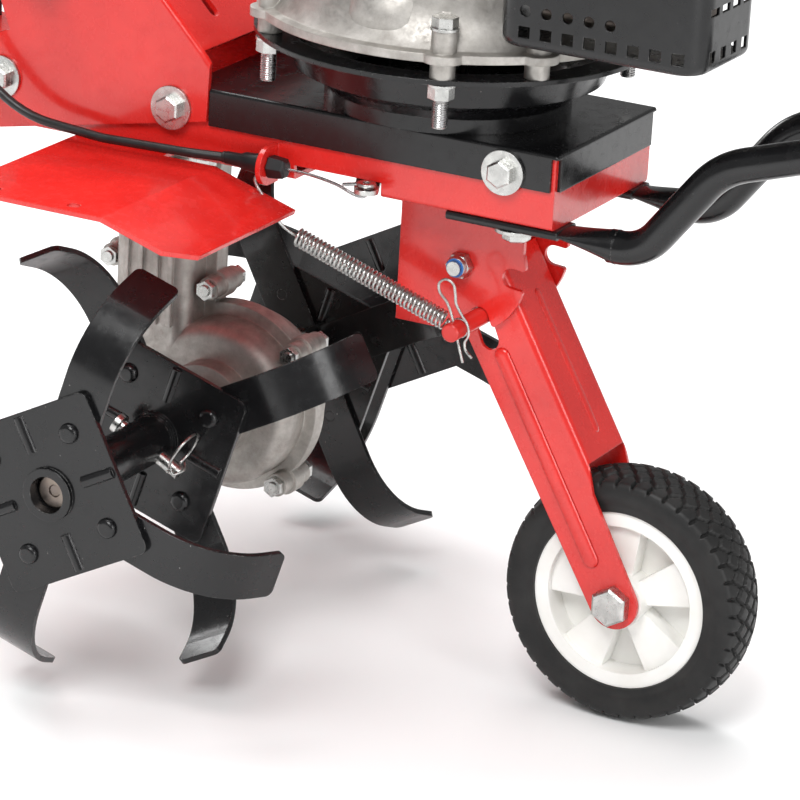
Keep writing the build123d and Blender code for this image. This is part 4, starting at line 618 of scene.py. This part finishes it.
def make_pin_clips():
    """Sprung wire ring through each clevis pin's cross hole, its hooked end round the pin."""
    along = Vector((0, math.cos(PIN_ANGLE), math.sin(PIN_ANGLE)))
    across = Vector((0, along.z, -along.y))
    shaft = middle("tine_shaft")
    bm = bmesh.new()
    for s in SIDES:
        hole = shaft + X_AXIS * (s * PIN_X * MM) + along * 0.022
        bow = []
        for k in range(15):
            a = math.radians(-62 + 304 * k / 14)
            bow.append(hole + across * (12.5 + CLIP_RADIUS * math.sin(a)) * MM
                       + X_AXIS * (CLIP_RADIUS * math.cos(a)) * MM)
        straight = [hole - X_AXIS * 0.007, hole, hole + X_AXIS * 0.005]
        hooked = [hole + X_AXIS * -0.0052 + along * 0.003,
                  hole + X_AXIS * 0.001 + along * 0.0052 + across * 0.003,
                  hole + X_AXIS * 0.0052 + along * 0.002 + across * 0.004]
        wire(bm, curve_through(straight + bow + hooked, 6), 0.8, 8)
    clips = finish_piece("clip_rings", bm, ZINC, "tines", 60)
    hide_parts("pin_clips")


def make_cable_ends():
    """Tapered boot, six-sided plug and the bare inner wire hooked to the tensioner's eye."""
    ear = at(-68, 164, -33)
    eye = at(-68, 106, -36)
    bm = bmesh.new()
    lathe(bm, [(0.1, 3.2), (5.6, 3.2), (5.8, 6.0), (5.2, 9.5), (5.0, 14.5), (3.7, 17.5), (3.4, 26.0),
               (2.6, 27.0), (0.1, 27.0)], ear, (0, 1, 0), 28, False)
    finish_piece("cable_boot", bm, PLASTIC, "frame", 28)
    bm = bmesh.new()
    hexagon(bm, ear, (0, -1, 0), 10.6, [(0.9, 0.2), (1.06, 0.8), (0.92, 9.4), (0.7, 10.4)])
    finish_piece("cable_plug", bm, PLASTIC, "frame", 20)
    bm = bmesh.new()
    path = [ear + Vector((0, -0.009, 0)), at(-68.3, 140, -33.2), at(-69, 124, -35.2),
            at(-69.6, 113, -38.4), at(-69.0, 107.5, -39.2), at(-67.6, 105.9, -37.6),
            at(-67.2, 105.8, -34.4), at(-68.2, 107.6, -32.4), at(-69.2, 113, -33.2),
            at(-69.6, 119, -34.4)]
    wire(bm, curve_through(path, 8), 0.95, 8)
    inner = finish_piece("inner_wire", bm, STEEL, None, 60)
    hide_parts("cable_wire")
    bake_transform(inner)
    bm = bmesh.new()
    lathe(bm, [(2.1, -1.0), (4.9, -1.0), (5.3, 0.0), (4.9, 1.0), (2.1, 1.0)],
          eye + Z_AXIS * 0.0036, (0, 0, 1), 32)
    finish_piece("eye_ring", bm, ZINC, "tensioner", 30)


def make_bending_cable():
    """The cable's sheath, a fixed copy of the imported cable route."""
    route = NODES["clutch_cable"]
    mesh = route.data.copy()
    mesh.materials.clear()
    mesh.materials.append(SHEATH)
    sheath = bpy.data.objects.new("cable_sheath", mesh)
    sheath.matrix_world = route.matrix_world.copy()
    bpy.context.scene.collection.objects.link(sheath)
    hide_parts("clutch_cable")
    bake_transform(sheath)


# ---- fasteners -----------------------------------------------------------------------------------
def make_pivot_nut():
    """Flanged lock nut of the swing arm's pivot, with its coloured insert."""
    low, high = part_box("pivot_nut")
    seat = Vector((high.x, (low.y + high.y) / 2, (low.z + high.z) / 2))
    bm = bmesh.new()
    hexagon(bm, seat, -X_AXIS, 13, [(0.94, 0), (1.0, 0.5), (1.0, 4.6), (0.93, 5.7)])
    lathe(bm, [(3.9, 5.0), (6.2, 5.0), (6.0, 6.6), (5.3, 8.1), (4.6, 8.5), (3.9, 8.3)], seat, -X_AXIS, 40)
    nut = finish_piece("lock_nut", bm, ZINC, "frame", 26)
    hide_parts("pivot_nut")
    bm = bmesh.new()
    lathe(bm, [(4.02, 6.5), (5.25, 6.5), (5.15, 8.55), (4.7, 8.75), (4.02, 8.6)], seat, -X_AXIS, 40)
    finish_piece("lock_nut_insert", bm, BLUE, "frame", 40)


PILL_ROWS = 8
PILL_STEPS = 48


def pill(bm, centre, along, across, out, length_mm, half_mm, rise_mm):
    """A long pressed rib with round ends, swelling softly from a sheet's face."""
    rings = []
    for k in range(PILL_ROWS + 1):
        share = 1 - k / PILL_ROWS
        rise = out * (rise_mm * math.sqrt(1 - share ** 2))
        ring = []
        for i in range(PILL_STEPS):
            a = 2 * math.pi * (i + 0.5) / PILL_STEPS
            shift = math.copysign(length_mm / 2 - half_mm, math.cos(a))
            flat = along * (shift + half_mm * share * math.cos(a)) + across * (half_mm * share * math.sin(a))
            ring.append(bm.verts.new(centre + (flat + rise) * MM))
        rings.append(ring)
    join_rings(bm, rings)
    bm.faces.new(rings[0][::-1])


ARM_PIVOT = at(0, 67.5, -79)
ARM_AXLE = at(0, -32.5, -251)


def make_arm_ribs():
    """Pressed ribs on both flanks of the swing arm and a shallow one on its web."""
    down = (ARM_AXLE - ARM_PIVOT).normalized()
    front = down.cross(X_AXIS).normalized()
    if front.y > 0:
        front.negate()
    bm = bmesh.new()
    for s in SIDES:
        centre = ARM_PIVOT + down * 0.113 + front * -0.0015 + X_AXIS * (s * 0.0243)
        pill(bm, centre, down, front, X_AXIS * s, 128, 4.6, 1.9)
    web = ARM_PIVOT + down * 0.070 + front * 0.0199
    pill(bm, web, down, X_AXIS, front, 84, 3.0, 0.7)
    finish_piece("arm_ribs", bm, RED, "wheel_arm", 50)


def make_hub_ends():
    """The shaft's faced ends, sunk a little inside each outer hub."""
    bm = bmesh.new()
    shaft = middle("tine_shaft")
    for s in SIDES:
        lathe(bm, [(0.1, 189.5), (3.0, 189.5), (3.4, 190.6), (8.8, 190.6), (9.9, 189.6), (9.9, 182.0),
                   (0.1, 182.0)], shaft, X_AXIS * s, 48)
    finish_piece("hub_shaft_ends", bm, HOT, "tines", 30)


ENGINE_Y = 95
BOLT_CIRCLE = 98.5
BOLT_ANGLES = (24, 131, 204, 311)
THREAD_PITCH = 1.25
THREAD_TURNS = 12


def make_stud_threads():
    """Rolled thread on the ends of the engine's four long bolts."""
    bm = bmesh.new()
    outline = [(3.0, 12.7), (3.6, 12.7)]
    for i in range(THREAD_TURNS):
        outline += [(4.25, 13.6 + THREAD_PITCH * i), (3.85, 14.2 + THREAD_PITCH * i)]
    outline += [(3.0, 28.0)]
    for degrees in BOLT_ANGLES:
        turn = math.radians(degrees)
        foot = at(BOLT_CIRCLE * math.cos(turn), ENGINE_Y + BOLT_CIRCLE * math.sin(turn), 0)
        lathe(bm, outline, foot, Z_AXIS, 32)
    finish_piece("stud_threads", bm, STEEL, "frame", 20)


# ---- grips and starter rope ----------------------------------------------------------------------
GRIP_X = 235
GRIP_END = (863.35, 638)
GRIP_BEND = (690, 575)
GRIP_LENGTH = 112
GRIP_RIBS = 15
GRIP_PITCH = 6.4


def make_grips():
    """Ribbed rubber sleeves with a flange in front and a domed end."""
    direction = (at(0, *GRIP_END) - at(0, *GRIP_BEND)).normalized()
    for s, name in zip(SIDES, ("grip_right", "grip_left")):
        start = at(s * GRIP_X, *GRIP_END) - direction * (GRIP_LENGTH * MM)
        profile = [(11.05, 0), (18.6, 0.3), (19.0, 1.6), (18.6, 3.4), (16.0, 4.4)]
        for i in range(GRIP_RIBS):
            a = 8 + i * GRIP_PITCH
            profile += [(14.6, a), (15.3, a + 0.8), (15.4, a + 3.6), (14.7, a + 4.6)]
        profile += [(15.0, 107), (15.4, 111), (14.4, 113.6), (8.0, 114.4), (0.1, 114.45)]
        bm = bmesh.new()
        lathe(bm, profile, start, direction, 48, False)
        grip = finish_piece(name, bm, GRIP, "handle", 30)
        if s < 0:
            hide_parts("handle_grips")


def make_starter_rope():
    """The recoil rope, drawn out of the housing by the pull handle."""
    low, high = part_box("starter_handle")
    front = Vector(((low.x + high.x) / 2, low.y, (low.z + high.z) / 2))
    inner_end = front - Vector((0, 0.030, 0))
    outer_end = front + Vector((0, 0.004, 0))
    points = [inner_end.lerp(outer_end, k / 12) for k in range(13)]
    bm = bmesh.new()
    wire(bm, points, 1.7, 12)
    rope = finish_piece("starter_rope", bm, NYLON, None, 60)
    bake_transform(rope)


# ---- spark plug boot and lead --------------------------------------------------------------------
PLUG_PLACE = at(18, -112, 134)


def make_plug_lead():
    bm = bmesh.new()
    lathe(bm, [(0.1, 22), (6.5, 22), (8.2, 19), (8.6, 10), (8.0, 2), (6.0, -1.0), (0.1, -1.0)],
          PLUG_PLACE, (0, -1, 0), 28, False)
    finish_piece("plug_boot", bm, PLASTIC, "frame", 35)
    bm = bmesh.new()
    path = [PLUG_PLACE + Vector((0, -0.014, 0.006)), PLUG_PLACE + Vector((0.001, -0.016, 0.018)),
            at(24, -122, 163), at(34, -113, 172), at(42, -101, 168)]
    wire(bm, curve_through(path, 8), 3.2, 12)
    finish_piece("plug_lead", bm, SHEATH, "frame", 60)


# ---- casting details of the engine base ----------------------------------------------------------
ENGINE_AXIS = at(0, ENGINE_Y, 0)
LONE_GUSSET = 233
# (radius, height, half width) of each corner
GUSSET_CORNERS = ((104, 52, 5.4), (99, 63.5, 5.2), (90, 66, 3.6), (86, 76, 3.0), (86, 52, 5.0))
BULGE_ANGLE = math.radians(181)
BULGE_HALF_TURN = 0.20
BULGE_Z = 68
BULGE_HALF_HEIGHT = 11.5
BULGE_RISE = 5.0


def make_base_gussets():
    """Gussets on the engine base's flared wall: one at each long bolt and one alone."""
    bm = bmesh.new()
    for angle in (*BOLT_ANGLES, LONE_GUSSET):
        turn = math.radians(angle)
        out = Vector((math.cos(turn), math.sin(turn), 0))
        side = Vector((-out.y, out.x, 0))
        faces = []
        for half in (-1, 1):
            faces.append([bm.verts.new(ENGINE_AXIS + out * (r * MM) + Z_AXIS * (z * MM)
                                       + side * (half * w * MM)) for r, z, w in GUSSET_CORNERS])
        join_rings(bm, faces)
        bm.faces.new(faces[0][::-1])
        bm.faces.new(faces[1])
    gussets = finish_piece("base_gussets", bm, CAST, "frame", 30)
    soften(gussets, 1.2)


def make_base_bulge():
    """A soft swelling of the base's wall on the side that is seen."""
    bm = bmesh.new()
    steps_u, steps_v = 26, 12
    grid = []
    for i in range(steps_u + 1):
        u = i / steps_u * 2 - 1
        row = []
        for j in range(steps_v + 1):
            v = j / steps_v * 2 - 1
            swell = max(0.0, 1 - u * u) * max(0.0, 1 - v * v)
            z = BULGE_Z + BULGE_HALF_HEIGHT * v
            wall = 91.0 + 7.0 * max(0.0, (64 - z) / 12) ** 1.6 - 3.6 * max(0.0, (z - 64) / 14)
            r = wall - 1.2 + BULGE_RISE * swell ** 0.8
            turn = BULGE_ANGLE + u * BULGE_HALF_TURN
            row.append(bm.verts.new(ENGINE_AXIS + Vector((math.cos(turn) * r, math.sin(turn) * r, z)) * MM))
        grid.append(row)
    for here, there in zip(grid, grid[1:]):
        for k in range(steps_v):
            bm.faces.new((here[k], there[k], there[k + 1], here[k + 1]))
    finish_piece("base_bulge", bm, CAST, "frame", 60)


def soften(piece, width_mm):
    """Round a piece's edges."""
    bevel = piece.modifiers.new("soft_edges", "BEVEL")
    bevel.width = width_mm * MM
    bevel.segments = 3
    bevel.limit_method = "ANGLE"
    bevel.angle_limit = math.radians(30)


add_camera()
add_studio()
dress_cad_nodes()
make_tyre()
make_spring()
make_hairpin()
make_pin_clips()
make_cable_ends()
make_bending_cable()
make_pivot_nut()
make_arm_ribs()
make_hub_ends()
make_stud_threads()
make_grips()
make_starter_rope()
make_plug_lead()
make_base_gussets()
make_base_bulge()
